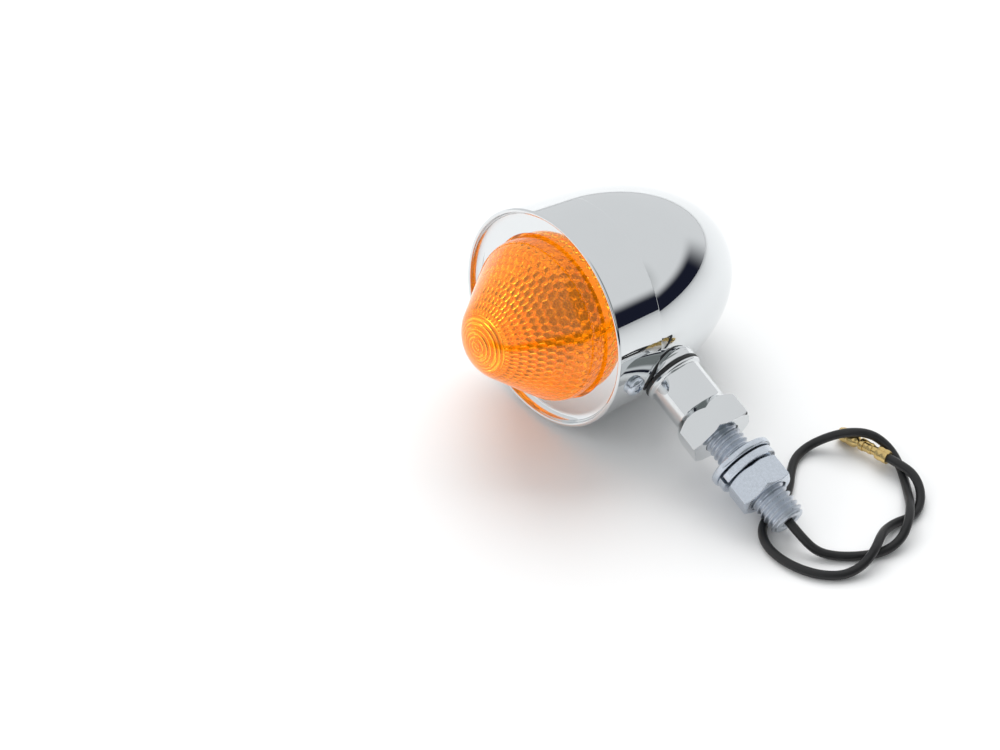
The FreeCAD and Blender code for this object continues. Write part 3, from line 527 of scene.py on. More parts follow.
@dataclass(frozen=True)
class TableTop:
    """The pale surface that the lamp lies on."""

    name: str = "pale table"
    colour: tuple[float, float, float] = (0.93, 0.93, 0.93)

    def material(self) -> bpy.types.Material:
        """The table's material.

        Returns:
            The material.
        """
        material = bpy.data.materials.new(self.name)
        material.use_nodes = True
        nodes, links = material.node_tree.nodes, material.node_tree.links
        shader = nodes["Principled BSDF"]
        shader.inputs["Base Color"].default_value = (*self.colour, 1)
        grain = nodes.new("ShaderNodeTexNoise")
        grain.inputs["Scale"].default_value = 30.0
        rough = nodes.new("ShaderNodeMapRange")
        rough.inputs["To Min"].default_value = 0.28
        rough.inputs["To Max"].default_value = 0.36
        links.new(grain.outputs["Fac"], rough.inputs["Value"])
        links.new(rough.outputs["Result"], shader.inputs["Roughness"])
        shader.inputs["Specular IOR Level"].default_value = 0.25
        return material


# ---------------------------------------------------------------- dressing

def dress(piece: bpy.types.Object, finish: Finish, slot: Slot, body: Body,
          *nodes: str) -> bpy.types.Object:
    """Give a new piece its finish, its body and the CAD nodes that it stands for.

    Args:
        piece: the new piece.
        finish: its finish.
        slot: the record's slot of that finish; not used.
        body: the body that it rides on.
        nodes: the CAD nodes that it replaces.

    Returns:
        The same piece.
    """
    piece.data.materials.clear()
    piece.data.materials.append(finish.material())
    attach(piece, body.value)
    if nodes:
        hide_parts(*nodes)
    log.info("%s on %s", piece.name, body.value)
    return piece


def repaint(node: str, finish: Finish) -> None:
    """Give a CAD node that stays in view its finish.

    Args:
        node: the CAD node's name.
        finish: its finish.
    """
    shape = frame["nodes"][node]
    shape.data.materials.clear()
    shape.data.materials.append(finish.material())
    log.info("%s kept from the frame", node)


# ---------------------------------------------------------------- head

@dataclass
class Housing:
    """The chrome bullet: a half ellipsoid with a round boss for the stem. Sizes in mm."""

    place: Matrix
    stem: Matrix
    seam: float = 6.9
    length: float = 46.0
    radius: float = 28.4
    wall: float = 2.4
    boss_radius: float = 8.0
    boss_drop: float = 28.9

    def dome(self) -> bpy.types.Object:
        """The polished dome with its open mouth.

        Returns:
            The dome.
        """
        outside = [(self.seam - self.length * math.sin(turn), self.radius * math.cos(turn))
                   for turn in (math.pi / 2 * step / 96 for step in range(97))]
        outside[-1] = (self.seam - self.length, 0.0)
        inner_length, inner_radius = self.length - self.wall, self.radius - self.wall
        inside = [(self.seam - inner_length * math.sin(turn), inner_radius * math.cos(turn))
                  for turn in (math.pi / 2 * (1 - step / 32) for step in range(33))]
        inside[0] = (self.seam - inner_length, 0.0)
        lip = [(self.seam + 0.05, self.radius - self.wall), (self.seam + 0.05, self.radius - 0.12)]
        piece = skin("bullet_housing", [*outside, *inside, *lip], self.place, 256, closed=True)
        finish_mesh(piece, 40.0)
        return piece

    def boss(self) -> bpy.types.Object:
        """The round boss that the stem seats on, flared into the dome.

        Returns:
            The boss.
        """
        return turned("housing_boss", [
            Corner(24.6, self.boss_radius + 0.1),
            Corner(27.4, self.boss_radius + 0.1, 0.6),
            Corner(27.7, self.boss_radius, 0.3),
            Corner(self.boss_drop, self.boss_radius, 0.25),
            Corner(self.boss_drop, 5.1),
            Corner(24.6, 5.1),
        ], self.stem, 96)

    def build(self) -> None:
        """Build and dress the housing."""
        dress(self.dome(), CHROME, Slot.CHROME, Body.HEAD, "housing")
        dress(self.boss(), CHROME, Slot.CHROME, Body.HEAD)


@dataclass
class VisorBezel:
    """The chrome bezel with its rolled rim and polished dish. Sizes in mm."""

    place: Matrix
    seam: float = 6.9
    length: float = 15.5
    back_radius: float = 28.9
    front_radius: float = 29.8
    rim_round: float = 0.55
    dish_depth: float = 2.5
    lip_inside: float = 22.4
    lip_thickness: float = 1.2
    flange_room: float = 25.05
    flange_thickness: float = 1.6
    inside: float = 27.35

    def dish(self) -> list[tuple[float, float]]:
        """The polished dish from the rim down to its flat floor.

        Returns:
            Its points as (along, radius).
        """
        front = self.seam + self.length
        bend = self.dish_depth - self.rim_round
        centre_x = front - self.rim_round
        centre_r = self.front_radius - 2 * self.rim_round - bend
        turns = [math.pi / 2 * step / 24 for step in range(25)]
        curve = [(centre_x - bend * math.sin(turn), centre_r + bend * math.cos(turn))
                 for turn in turns]
        floor = front - self.dish_depth
        return [*curve, (floor, self.lip_inside + 0.15), (floor - 0.12, self.lip_inside)]

    def build(self) -> None:
        """Build and dress the bezel."""
        front = self.seam + self.length
        roll_x, roll_r = front - self.rim_round, self.front_radius - self.rim_round
        roll = [(roll_x + self.rim_round * math.sin(turn),
                 roll_r + self.rim_round * math.cos(turn))
                for turn in (math.pi * step / 16 for step in range(17))]
        body = rounded_outline([
            Corner(self.seam + 0.3, self.inside),
            Corner(self.seam + 0.02, self.inside + 0.6, 0.1),
            Corner(self.seam + 0.02, self.back_radius, 0.22),
            Corner(roll_x - 3.0, self.back_radius
                   + (self.front_radius - self.back_radius) * (self.length - 3.6) / self.length),
        ])
        lip_back = front - self.dish_depth - self.lip_thickness
        step_back = lip_back - self.flange_thickness
        lip = [(lip_back, self.lip_inside), (lip_back, self.flange_room),
               (step_back, self.flange_room), (step_back, self.inside)]
        piece = skin("visor_bezel_shell", [*body, *roll, *self.dish()[1:], *lip], self.place, 256,
                     closed=True)
        finish_mesh(piece, 38.0)
        dress(piece, CHROME, Slot.CHROME, Body.HEAD, "visor_bezel")


@dataclass
class Lens:
    """The amber lens: smooth outside, with honeycomb cells and rings inside. Sizes in mm."""

    place: Matrix
    flange_back: float = 17.1
    flange: float = 24.9
    flange_thickness: float = 1.6
    radius: float = 21.8
    wall: float = 1.8
    tip: float = 45.5
    tip_radius: float = 13.0
    slope: float = 37.0
    shoulder: float = 6.0
    cells_round: int = 48
    cell_rows: int = 12
    cell_depth: float = 0.62
    rings_from: float = 0.78
    segments: int = 420

    def profile(self, inset: float, steps: int = 160) -> list[tuple[float, float]]:
        """Points evenly spaced along the lens's outline, from the flange to the tip.

        Args:
            inset: how far inside the outer surface, in mm.
            steps: number of pieces.

        Returns:
            The points as (along, radius).
        """
        slope = math.radians(self.slope)
        ball = self.tip - self.tip_radius
        tip_radius = self.tip_radius - inset
        barrel = self.radius - inset
        join_x = ball + tip_radius * math.sin(slope)
        join_r = tip_radius * math.cos(slope)
        corner_x = join_x - (barrel - join_r) / math.tan(slope)
        run = max(self.shoulder - inset, 2.5) * math.tan(slope / 2)
        dense: list[Vector] = []
        for step in range(41):
            share = step / 40
            dense.append(Vector((self.flange_back + share * (corner_x - run - self.flange_back),
                                 barrel)))
        centre = Vector((corner_x - run, barrel - max(self.shoulder - inset, 2.5)))
        for step in range(1, 25):
            turn = slope * step / 24
            dense.append(centre + max(self.shoulder - inset, 2.5)
                         * Vector((math.sin(turn), math.cos(turn))))
        last = dense[-1].copy()
        for step in range(1, 41):
            dense.append(last.lerp(Vector((join_x, join_r)), step / 40))
        for step in range(1, 49):
            turn = slope + (math.pi / 2 - slope) * step / 48
            dense.append(Vector((ball + tip_radius * math.sin(turn),
                                 tip_radius * math.cos(turn))))
        lengths = [0.0]
        for first, second in zip(dense, dense[1:]):
            lengths.append(lengths[-1] + (second - first).length)
        points: list[tuple[float, float]] = []
        index = 0
        for step in range(steps + 1):
            target = lengths[-1] * step / steps
            while index < len(dense) - 2 and lengths[index + 1] < target:
                index += 1
            span = lengths[index + 1] - lengths[index]
            share = (target - lengths[index]) / span if span else 0.0
            here = dense[index].lerp(dense[index + 1], min(max(share, 0.0), 1.0))
            points.append((here.x, max(here.y, 0.0)))
        return points

    def relief(self, share: float, turn: float) -> float:
        """How far the inside is raised at a place.

        Args:
            share: place along the outline, from 0 at the flange to 1 at the tip.
            turn: angle about the bullet in radians.

        Returns:
            The height in mm.
        """
        if share >= self.rings_from:
            step = (share - self.rings_from) / (1 - self.rings_from) * 7.0
            return self.cell_depth * 0.75 * (1 - (2 * (step % 1.0) - 1) ** 2)
        row = share / self.rings_from * self.cell_rows
        column = turn / (2 * math.pi) * self.cells_round
        nearest = 9.0
        for level in (math.floor(row), math.floor(row) + 1):
            shift = 0.5 * (level % 2)
            across = column - shift - round(column - shift)
            nearest = min(nearest, across ** 2 + (0.866 * (row - level)) ** 2)
        return self.cell_depth * max(0.0, 1 - nearest / 0.34)

    def build(self) -> None:
        """Build and dress the lens."""
        outer = self.profile(0.0, 120)
        steps = 170
        inner = self.profile(self.wall, steps)
        verts: list[tuple[float, float, float]] = []
        faces: list[tuple[int, ...]] = []
        rim = [(self.flange_back, self.flange), (self.flange_back + self.flange_thickness,
                                                 self.flange),
               (self.flange_back + self.flange_thickness, self.radius)]
        shell = rim + [point for point in outer if point[0] > self.flange_back
                       + self.flange_thickness + 0.1][:-1]
        count = self.segments
        for along, radius in shell:
            for number in range(count):
                turn = 2 * math.pi * number / count
                verts.append((along, radius * math.cos(turn), radius * math.sin(turn)))
        outer_tip = len(verts)
        verts.append((self.tip, 0.0, 0.0))
        inner_start = len(verts)
        for index in range(steps):
            before = Vector(inner[max(index - 1, 0)])
            after = Vector(inner[index + 1])
            along = (after - before).normalized()
            inward = Vector((along.y, -along.x))
            if inward.y > 0:
                inward = -inward
            for number in range(count):
                turn = 2 * math.pi * number / count
                fade = min(1.0, index / 6)
                raised = self.relief(index / steps, turn) * fade
                x, radius = inner[index][0] + inward.x * raised, inner[index][1] + inward.y * raised
                verts.append((x, radius * math.cos(turn), radius * math.sin(turn)))
        inner_tip = len(verts)
        verts.append((inner[-1][0], 0.0, 0.0))
        rows = len(shell)
        for row in range(rows - 1):
            for number in range(count):
                following = (number + 1) % count
                faces.append((row * count + number, row * count + following,
                              (row + 1) * count + following, (row + 1) * count + number))
        for row in range(steps - 1):
            base = inner_start + row * count
            for number in range(count):
                following = (number + 1) % count
                faces.append((base + number, base + count + number,
                              base + count + following, base + following))
        for number in range(count):
            following = (number + 1) % count
            faces.append(((rows - 1) * count + number, (rows - 1) * count + following, outer_tip))
            faces.append((inner_start + (steps - 1) * count + following,
                          inner_start + (steps - 1) * count + number, inner_tip))
            faces.append((number, inner_start + number, inner_start + following, following))
        piece = mesh_piece("amber_lens", verts, faces, self.place)
        piece.data.shade_smooth()
        piece.data.set_sharp_from_angle(angle=math.radians(50))
        dress(piece, AMBER, Slot.LENS, Body.HEAD, "lens")


@dataclass
class BezelScrew:
    """The cross-recess screw that holds the bezel on. Sizes in mm."""

    bullet: Matrix
    along: float = 15.2
    turn: float = 8.0
    seat: float = 29.38
    head_radius: float = 2.75
    head_height: float = 2.0

    def place(self) -> Matrix:
        """Local X out along the screw, with its seat at zero."""
        turn = math.radians(self.turn)
        outward = Vector((0, math.cos(turn), math.sin(turn)))
        across = Vector((1, 0, 0))
        columns = (outward, across, outward.cross(across))
        rotation = Matrix([[column[row] for column in columns] for row in range(3)]).to_4x4()
        move = Matrix.Translation(Vector((self.along, 0, 0)) + outward * self.seat)
        return self.bullet @ move @ rotation

    def build(self) -> None:
        """Build and dress the screw, its recess cut by a cross."""
        place = self.place()
        radius, height = self.head_radius, self.head_height
        crown = [(height * 0.32 + height * 0.68 * math.sin(turn), radius * math.cos(turn) ** 0.8)
                 for turn in (math.pi / 2 * step / 20 for step in range(20))]
        rings = [(-2.5, 0.0), (-2.5, 1.45), (0.0, 1.5), (0.0, radius - 0.1), (0.08, radius), *crown,
                 (height, 0.0)]
        head = skin("bezel_screw_head", rings, place, 96)
        cross = self.cross(place)
        cutter = head.modifiers.new("cross recess", "BOOLEAN")
        cutter.object = cross
        cutter.operation = "DIFFERENCE"
        cutter.solver = "EXACT"
        bpy.context.view_layer.update()
        graph = bpy.context.evaluated_depsgraph_get()
        cut = bpy.data.meshes.new_from_object(head.evaluated_get(graph))
        head.modifiers.clear()
        head.data = cut
        bpy.data.objects.remove(cross, do_unlink=True)
        finish_mesh(head, 32.0)
        dress(head, ZINC, Slot.ZINC, Body.HEAD, "bezel_screw")

    def cross(self, place: Matrix) -> bpy.types.Object:
        """The tapered cross that cuts the recess.

        Args:
            place: the screw's matrix.

        Returns:
            The cutter.
        """
        verts: list[tuple[float, float, float]] = []
        faces: list[tuple[int, ...]] = []
        wide, long_low, long_high = 0.3, 0.5, 1.45
        for level, reach in ((0.7, long_low), (self.head_height + 0.3, long_high)):
            for quarter in range(4):
                for y, z in ((reach, -wide), (reach, wide), (wide, wide)):
                    turn = quarter * math.pi / 2
                    verts.append((level, y * math.cos(turn) - z * math.sin(turn),
                                  y * math.sin(turn) + z * math.cos(turn)))
        faces.append(tuple(range(12)))
        faces.append(tuple(range(12, 24)))
        for number in range(12):
            following = (number + 1) % 12
            faces.append((number, following, 12 + following, 12 + number))
        return mesh_piece("cross_cutter", verts, faces, place)


@dataclass
class BulbAndSocket:
    """What shows through the lens: reflector, socket and bulb, kept from the frame."""

    bullet: Matrix
    spring_start: float = -14.2
    spring_end: float = -10.2
    spring_radius: float = 5.5
    filament_x: float = 18.0

    def build(self) -> None:
        """Dress the kept pieces, and coil the spring and the filament."""
        kept = {
            "reflector": SILVER, "socket_shell": STEEL, "socket_rivets": STEEL,
            "socket_rear_cap": LAMINATE, "contact_disc": LAMINATE, "contact_pad": BRASS,
            "contact_lead": BRASS, "bulb_cap": BRASS, "bulb_pins": BRASS,
            "bulb_contact": BRASS, "bulb_insulator": BLACK_GLASS, "bulb_glass": CLEAR_GLASS,
            "filament_stem": CLEAR_GLASS, "filament_posts": TUNGSTEN,
            "socket_lead": RUBBER, "lens_gasket": GASKET,
        }
        for node, finish in kept.items():
            repaint(node, finish)
        self.spring()
        self.filament()

    def spring(self) -> None:
        """The coil spring behind the contact disc."""
        turns, steps = 3.5, 140
        points = [Vector((self.spring_start + 0.5 + (self.spring_end - self.spring_start - 1.0)
                          * step / steps,
                          self.spring_radius * math.cos(2 * math.pi * turns * step / steps),
                          self.spring_radius * math.sin(2 * math.pi * turns * step / steps)))
                  for step in range(steps + 1)]
        piece = tube_along("contact_coil", points, 0.4, self.bullet, 10)
        dress(piece, STEEL, Slot.SOCKET, Body.HEAD, "contact_spring")
        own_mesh(piece)

    def filament(self) -> None:
        """The coiled filament between its posts."""
        turns, steps = 14, 280
        points = [Vector((self.filament_x + 0.28 * math.cos(2 * math.pi * turns * step / steps),
                          0.28 * math.sin(2 * math.pi * turns * step / steps),
                          -2.5 + 5.0 * step / steps)) for step in range(steps + 1)]
        lamp_turn = Matrix.Rotation(math.pi / 2, 4, "X")
        piece = tube_along("filament_coil", points, 0.07, self.bullet @ lamp_turn, 6)
        dress(piece, TUNGSTEN, Slot.TUNGSTEN, Body.BULB, "filament")


# ---------------------------------------------------------------- stem

@dataclass
class Stay:
    """The chrome stay: flange, round post and hexagon. Sizes in mm, down the stem."""

    stem: Matrix
    start: float = 29.95
    flange_radius: float = 8.15
    flange_height: float = 0.8
    post: float = 7.35
    hex_start: float = 42.0
    hex_end: float = 50.9
    flats: float = 17.0
    cone: float = 2.6

    def build(self) -> None:
        """Build and dress the stay."""
        across = hexagon(self.flats)
        corner = self.flats / 2 / math.cos(math.pi / 6)
        rise = self.cone / (corner - self.post)
        face = corner - 0.9
        rings: list[Ring] = [
            (self.start, 5.05),
            (self.start, self.flange_radius - 0.15),
            (self.start + 0.12, self.flange_radius),
            (self.start + self.flange_height - 0.15, self.flange_radius),
            (self.start + self.flange_height, self.flange_radius - 0.12),
            (self.start + self.flange_height + 0.4, self.post + 0.12),
            (self.start + self.flange_height + 0.7, self.post),
            (self.hex_start - 0.5, self.post),
            (self.hex_start, self.post + 0.06),
            (self.hex_start + 0.35, self.post + 0.26),
            (lambda turn: self.hex_start + rise * (across(turn) - self.post) + 0.05, across),
            (lambda turn: self.hex_end - 0.45 * max(0.0, across(turn) - face), across),
            (self.hex_end, lambda turn: min(across(turn), face)),
            (self.hex_end, 5.05),
        ]
        piece = skin("stay_post", rings, self.stem, 144, closed=True)
        soften_edges(piece, 0.22)
        finish_mesh(piece, 26.0)
        dress(piece, CHROME, Slot.CHROME, Body.STAY, "stay")


@dataclass
class Stud:
    """The zinc-plated hollow stud with its coarse rolled thread. Sizes in mm."""

    stem: Matrix
    radius: float = 4.97
    bore: float = 2.3
    start: float = 17.5
    end: float = 79.1
    pitch: float = 1.5
    depth: float = 0.80

    def groove(self, phase: float) -> float:
        """Depth of the thread at a phase of its pitch, from 0 to 1.

        Args:
            phase: place within one pitch.

        Returns:
            The depth in mm.
        """
        off = abs(phase % 1.0 - 0.5) * 2
        share = min(1.0, max(0.0, (1.0 - off - 0.10) / 0.72))
        return self.depth * (share * share * (3 - 2 * share) * 0.35 + share * 0.65)

    def build(self) -> None:
        """Build and dress the stud."""
        sides, per_pitch = 72, 16
        rows = int((self.end - self.start) / self.pitch * per_pitch)
        verts: list[tuple[float, float, float]] = []
        for row in range(rows + 1):
            along = self.start + (self.end - self.start) * row / rows
            edge = min(along - self.start, self.end - along)
            for number in range(sides):
                turn = 2 * math.pi * number / sides
                phase = along / self.pitch - number / sides
                reach = min(self.radius - self.groove(phase), self.radius - 0.95 + edge * 1.1)
                verts.append((along, reach * math.cos(turn), reach * math.sin(turn)))
        faces = [(row * sides + number, row * sides + (number + 1) % sides,
                  (row + 1) * sides + (number + 1) % sides, (row + 1) * sides + number)
                 for row in range(rows) for number in range(sides)]
        bore_end = len(verts)
        for along, reach in ((self.end, self.bore + 0.25), (self.end - 0.25, self.bore),
                             (self.start, self.bore)):
            verts += [(along, reach * math.cos(2 * math.pi * number / sides),
                       reach * math.sin(2 * math.pi * number / sides))
                      for number in range(sides)]
        chain = [rows * sides, bore_end, bore_end + sides, bore_end + 2 * sides, 0]
        for first, second in zip(chain, chain[1:]):
            faces += [(first + number, first + (number + 1) % sides,
                       second + (number + 1) % sides, second + number)
                      for number in range(sides)]
        piece = mesh_piece("threaded_stud", verts, faces, self.stem)
        piece.data.shade_smooth()
        piece.data.set_sharp_from_angle(angle=math.radians(60))
        dress(piece, THREAD_ZINC, Slot.ZINC, Body.STAY, "stud")


@dataclass
class HexNut:
    """A chamfered hexagon nut. Sizes in mm, down the stem."""

    name: str
    stem: Matrix
    start: float
    height: float
    bore: float
    corner_turn: float
    flats: float = 14.0

    def build(self, body: Body, node: str) -> None:
        """Build and dress the nut.

        Args:
            body: the body that it rides on.
            node: the CAD node that it replaces.
        """
        across = hexagon(self.flats, self.corner_turn)
        land = self.flats / 2 - 0.25
        slope = math.tan(math.radians(30))
        end = self.start + self.height
        rings: list[Ring] = [
            (self.start + 0.5, self.bore),
            (self.start, self.bore + 0.5),
            (self.start, land),
            (lambda turn: self.start + (across(turn) - land) * slope, across),
            (lambda turn: end - (across(turn) - land) * slope, across),
            (end, land),
            (end, self.bore + 0.5),
            (end - 0.5, self.bore),
        ]
        piece = skin(self.name, rings, self.stem, 144, closed=True, turned=self.corner_turn)
        soften_edges(piece, 0.12)
        finish_mesh(piece, 24.0)
        dress(piece, ZINC, Slot.ZINC, body, node)


@dataclass
class Washers:
    """The flat washer and the split spring washer. Sizes in mm, down the stem."""

    stem: Matrix
    flat_start: float = 57.9
    flat_height: float = 2.0
    flat_radius: float = 8.8
    hole: float = 5.25
    spring_height: float = 2.8
    spring_radius: float = 8.2
    split_turn: float = 0.0
    split_width: float = 1.4

    def flat(self) -> bpy.types.Object:
        """The flat washer, rounded on its rim.

        Returns:
            The washer.
        """
        end = self.flat_start + self.flat_height
        return turned("flat_washer_disc", [
            Corner(self.flat_start, self.hole, 0.2),
            Corner(self.flat_start, self.flat_radius, 0.7),
            Corner(end, self.flat_radius, 0.7),
            Corner(end, self.hole, 0.2),
        ], self.stem, 128, sharp=40.0)

    def spring(self) -> bpy.types.Object:
        """The spring washer: a square wire bent nearly round, its ends a little apart.

        Returns:
            The washer.
        """
        start = self.flat_start + self.flat_height
        steps = 120
        gap = self.split_width / self.spring_radius
        verts: list[tuple[float, float, float]] = []
        thick = self.spring_height - 0.5
        for step in range(steps + 1):
            share = step / steps
            turn = self.split_turn + gap / 2 + (2 * math.pi - gap) * share
            lift = 0.02 + 0.46 * share
            for along, reach in ((start + lift, self.hole),
                                 (start + lift, self.spring_radius - 0.2),
                                 (start + lift + 0.2, self.spring_radius),
                                 (start + lift + thick - 0.2, self.spring_radius),
                                 (start + lift + thick, self.spring_radius - 0.2),
                                 (start + lift + thick, self.hole)):
                verts.append((along, reach * math.cos(turn), reach * math.sin(turn)))
        faces: list[tuple[int, ...]] = [tuple(range(6)),
                                        tuple(range(steps * 6, steps * 6 + 6))]
        for step in range(steps):
            for number in range(6):
                following = (number + 1) % 6
                faces.append((step * 6 + number, step * 6 + following,
                              (step + 1) * 6 + following, (step + 1) * 6 + number))
        piece = mesh_piece("spring_washer_ring", verts, faces, self.stem)
        finish_mesh(piece, 30.0)
        return piece

    def build(self) -> None:
        """Build and dress both washers."""
        dress(self.flat(), ZINC, Slot.ZINC, Body.WASHERS, "flat_washer")
        dress(self.spring(), ZINC, Slot.ZINC, Body.WASHERS, "spring_washer")


@dataclass
class NeckGasket:
    """The black gasket between boss and stay. Sizes in mm, down the stem."""

    stem: Matrix
    start: float = 28.95
    height: float = 1.0
    radius: float = 8.2
    hole: float = 5.25

    def build(self) -> None:
        """Build and dress the gasket."""
        end = self.start + self.height
        piece = turned("neck_gasket_ring", [
            Corner(self.start, self.hole, 0.1),
            Corner(self.start, self.radius, 0.35),
            Corner(end, self.radius, 0.35),
            Corner(end, self.hole, 0.1),
        ], self.stem, 128, sharp=45.0)
        dress(piece, GASKET, Slot.RUBBER, Body.STAY, "neck_gasket")


# ---------------------------------------------------------------- lead

@dataclass
class FreeLead:
    """The lead from the stud's bore to its bullet terminal. Sizes in mm.

    The route's x and y count from the stud's end, and its height from the surface.
    """

    axes: LampAxes
    stud_end: float = 79.1
    straight: float = 4.7
    radius: float = 1.2
    length: float = 0.1985
    route: list[tuple[float, float, float]] = field(default_factory=lambda: [
        (-0.9, 9.4, 2.0), (-4.3, 13.2, 1.2), (-9.2, 17.0, 1.2),
        (-14.8, 19.8, 1.3), (-20.2, 20.2, 2.4), (-24.6, 18.2, 4.4), (-28.8, 14.8, 4.4),
        (-32.4, 11.0, 2.3), (-36.0, 6.6, 1.2), (-39.0, 1.6, 1.7), (-40.2, -3.6, 3.5),
        (-38.5, -8.6, 5.7), (-34.4, -12.6, 6.0), (-30.2, -16.4, 3.7), (-25.0, -18.6, 1.6),
        (-19.6, -17.8, 1.2), (-15.2, -14.6, 1.2), (-10.7, -10.6, 1.2), (-5.4, -8.2, 1.2),
        (0.2, -7.4, 1.2), (4.6, -5.0, 1.2), (7.2, -0.4, 1.2), (7.4, 5.0, 1.2),
        (6.0, 10.3, 1.2), (3.2, 15.2, 1.2), (-1.2, 18.9, 1.2), (-6.4, 20.3, 2.4),
        (-11.1, 19.5, 4.4), (-15.4, 17.2, 4.4), (-19.6, 15.2, 2.4), (-24.2, 14.5, 1.2),
        (-28.6, 15.8, 1.2), (-32.9, 14.7, 1.4), (-36.2, 11.7, 2.6), (-37.8, 7.6, 4.0),
        (-37.5, 3.2, 4.3), (-37.0, -1.0, 3.8),
    ])

    def points(self) -> list[Vector]:
        """The route's points in metres, in the row frame."""
        stem = self.axes.stem_direction()
        tip = self.axes.centre() + stem * self.stud_end * MM
        free = [Vector((tip.x + x * MM, tip.y + y * MM, z * MM)) for x, y, z in self.route]
        return [tip, tip + stem * self.straight * MM, *free]

    def curve(self) -> bpy.types.Object:
        """The lead as one smooth curve through its route.

        Returns:
            The curve object.
        """
        points = self.points()
        data = bpy.data.curves.new("lead_wire_curve", "CURVE")
        data.dimensions = "3D"
        data.bevel_depth = self.radius * MM
        data.bevel_resolution = 6
        data.resolution_u = 14
        data.use_fill_caps = True
        spline = data.splines.new("NURBS")
        spline.points.add(len(points) - 1)
        for knot, point in zip(spline.points, points):
            knot.co = (*point, 1.0)
        spline.order_u = 3
        spline.use_endpoint_u = True
        piece = bpy.data.objects.new("free_lead", data)
        bpy.context.scene.collection.objects.link(piece)
        return piece

    def build(self) -> None:
        lead = dress(self.curve(), RUBBER, Slot.RUBBER, Body.STAY, "lead_wire")
        points = self.points()
        terminal = BulletTerminal(points[-1], (points[-1] - points[-2]).normalized())
        pieces = terminal.build()
        repaint("lead_in_stud", RUBBER)


@dataclass
class BulletTerminal:
    """The brass bullet terminal crimped on the lead. Sizes in mm along its own axis."""

    start: Vector
    along: Vector
    length: float = 16.0
    barrel_length: float = 6.0
    barrel: float = 1.95
    neck: float = 1.25
    crimp: float = 1.7
    grip: float = 3.4

    def place(self) -> Matrix:
        """Local X along the terminal from the lead's end."""
        across = Vector((0, 0, 1)) - self.along * self.along.z
        across.normalize()
        columns = (self.along, across, self.along.cross(across))
        turn = Matrix([[column[row] for column in columns] for row in range(3)])
        return Matrix.Translation(self.start) @ turn.to_4x4() @ Matrix.Scale(MM, 4)

    def pin(self, place: Matrix) -> bpy.types.Object:
        """The rolled bullet with its collar and open tip.

        Args:
            place: the terminal's matrix.

        Returns:
            The bullet.
        """
        foot = self.length - self.barrel_length
        piece = turned("terminal_bullet", [
            Corner(foot - 2.4, 0.9),
            Corner(foot - 2.4, self.crimp, 0.2),
            Corner(foot - 1.1, self.crimp, 0.3),
            Corner(foot - 0.9, self.neck, 0.3),
            Corner(foot - 0.3, self.neck, 0.3),
            Corner(foot + 0.5, self.barrel, 0.5),
            Corner(foot + 2.4, self.barrel, 0.6),
            Corner(foot + 2.9, self.barrel - 0.18, 0.5),
            Corner(foot + 3.5, self.barrel - 0.02, 0.5),
            Corner(self.length - 1.2, self.barrel - 0.04, 0.8),
            Corner(self.length, self.barrel * 0.72, 0.3),
            Corner(self.length, self.neck * 0.7, 0.15),
            Corner(self.length - 4, self.neck * 0.7),
            Corner(self.length - 4, 0.0),
        ], place, 64, closed=False, sharp=50.0)
        return piece

    def wings(self, name: str, start: float, length: float, radius: float,
              place: Matrix) -> bpy.types.Object:
        """A crimp: a strip rolled round, its two edges pressed in along the top.

        Args:
            name: the piece's name.
            start: where it begins along the terminal.
            length: its length.
            radius: its outside radius.
            place: the terminal's matrix.

        Returns:
            The crimp.
        """
        sides, rows = 48, 10
        rings: list[Ring] = []

        def reach(turn: float) -> float:
            off = abs((turn + math.pi) % (2 * math.pi) - math.pi)
            dent = 0.42 * math.exp(-(off / 0.16) ** 2) - 0.12 * math.exp(-((off - 0.5) / 0.3) ** 2)
            return radius - dent

        for row in range(rows + 1):
            share = row / rows
            swell = -0.12 * math.cos(2 * math.pi * share) ** 2
            rings.append((start + length * share,
                          lambda turn, swell=swell: reach(turn) + swell))
        back = [(start + length, radius - 0.75), (start, radius - 0.75)]
        piece = skin(name, [*rings, *back], place, sides, closed=True)
        finish_mesh(piece, 40.0)
        return piece

    def build(self) -> list[bpy.types.Object]:
        """Build and dress the terminal.

        Returns:
            Its pieces.
        """
        place = self.place()
        foot = self.length - self.barrel_length
        pieces = [
            self.pin(place),
            self.wings("terminal_grip", 0.0, self.grip, self.crimp + 0.15, place),
            self.wings("terminal_crimp", self.grip + 1.6, foot - 2.2 - self.grip - 1.6,
                       self.crimp * 0.9, place),
            turned("terminal_strip", [
                Corner(self.grip - 0.4, 0.7), Corner(self.grip - 0.4, self.neck, 0.2),
                Corner(foot - 1.8, self.neck, 0.2), Corner(foot - 1.8, 0.7)], place, 48),
        ]
        dress(pieces[0], BRASS, Slot.BRASS, Body.STAY, "bullet_terminal")
        for piece in pieces[1:]:
            dress(piece, BRASS, Slot.BRASS, Body.STAY)
        return pieces


# ---------------------------------------------------------------- studio

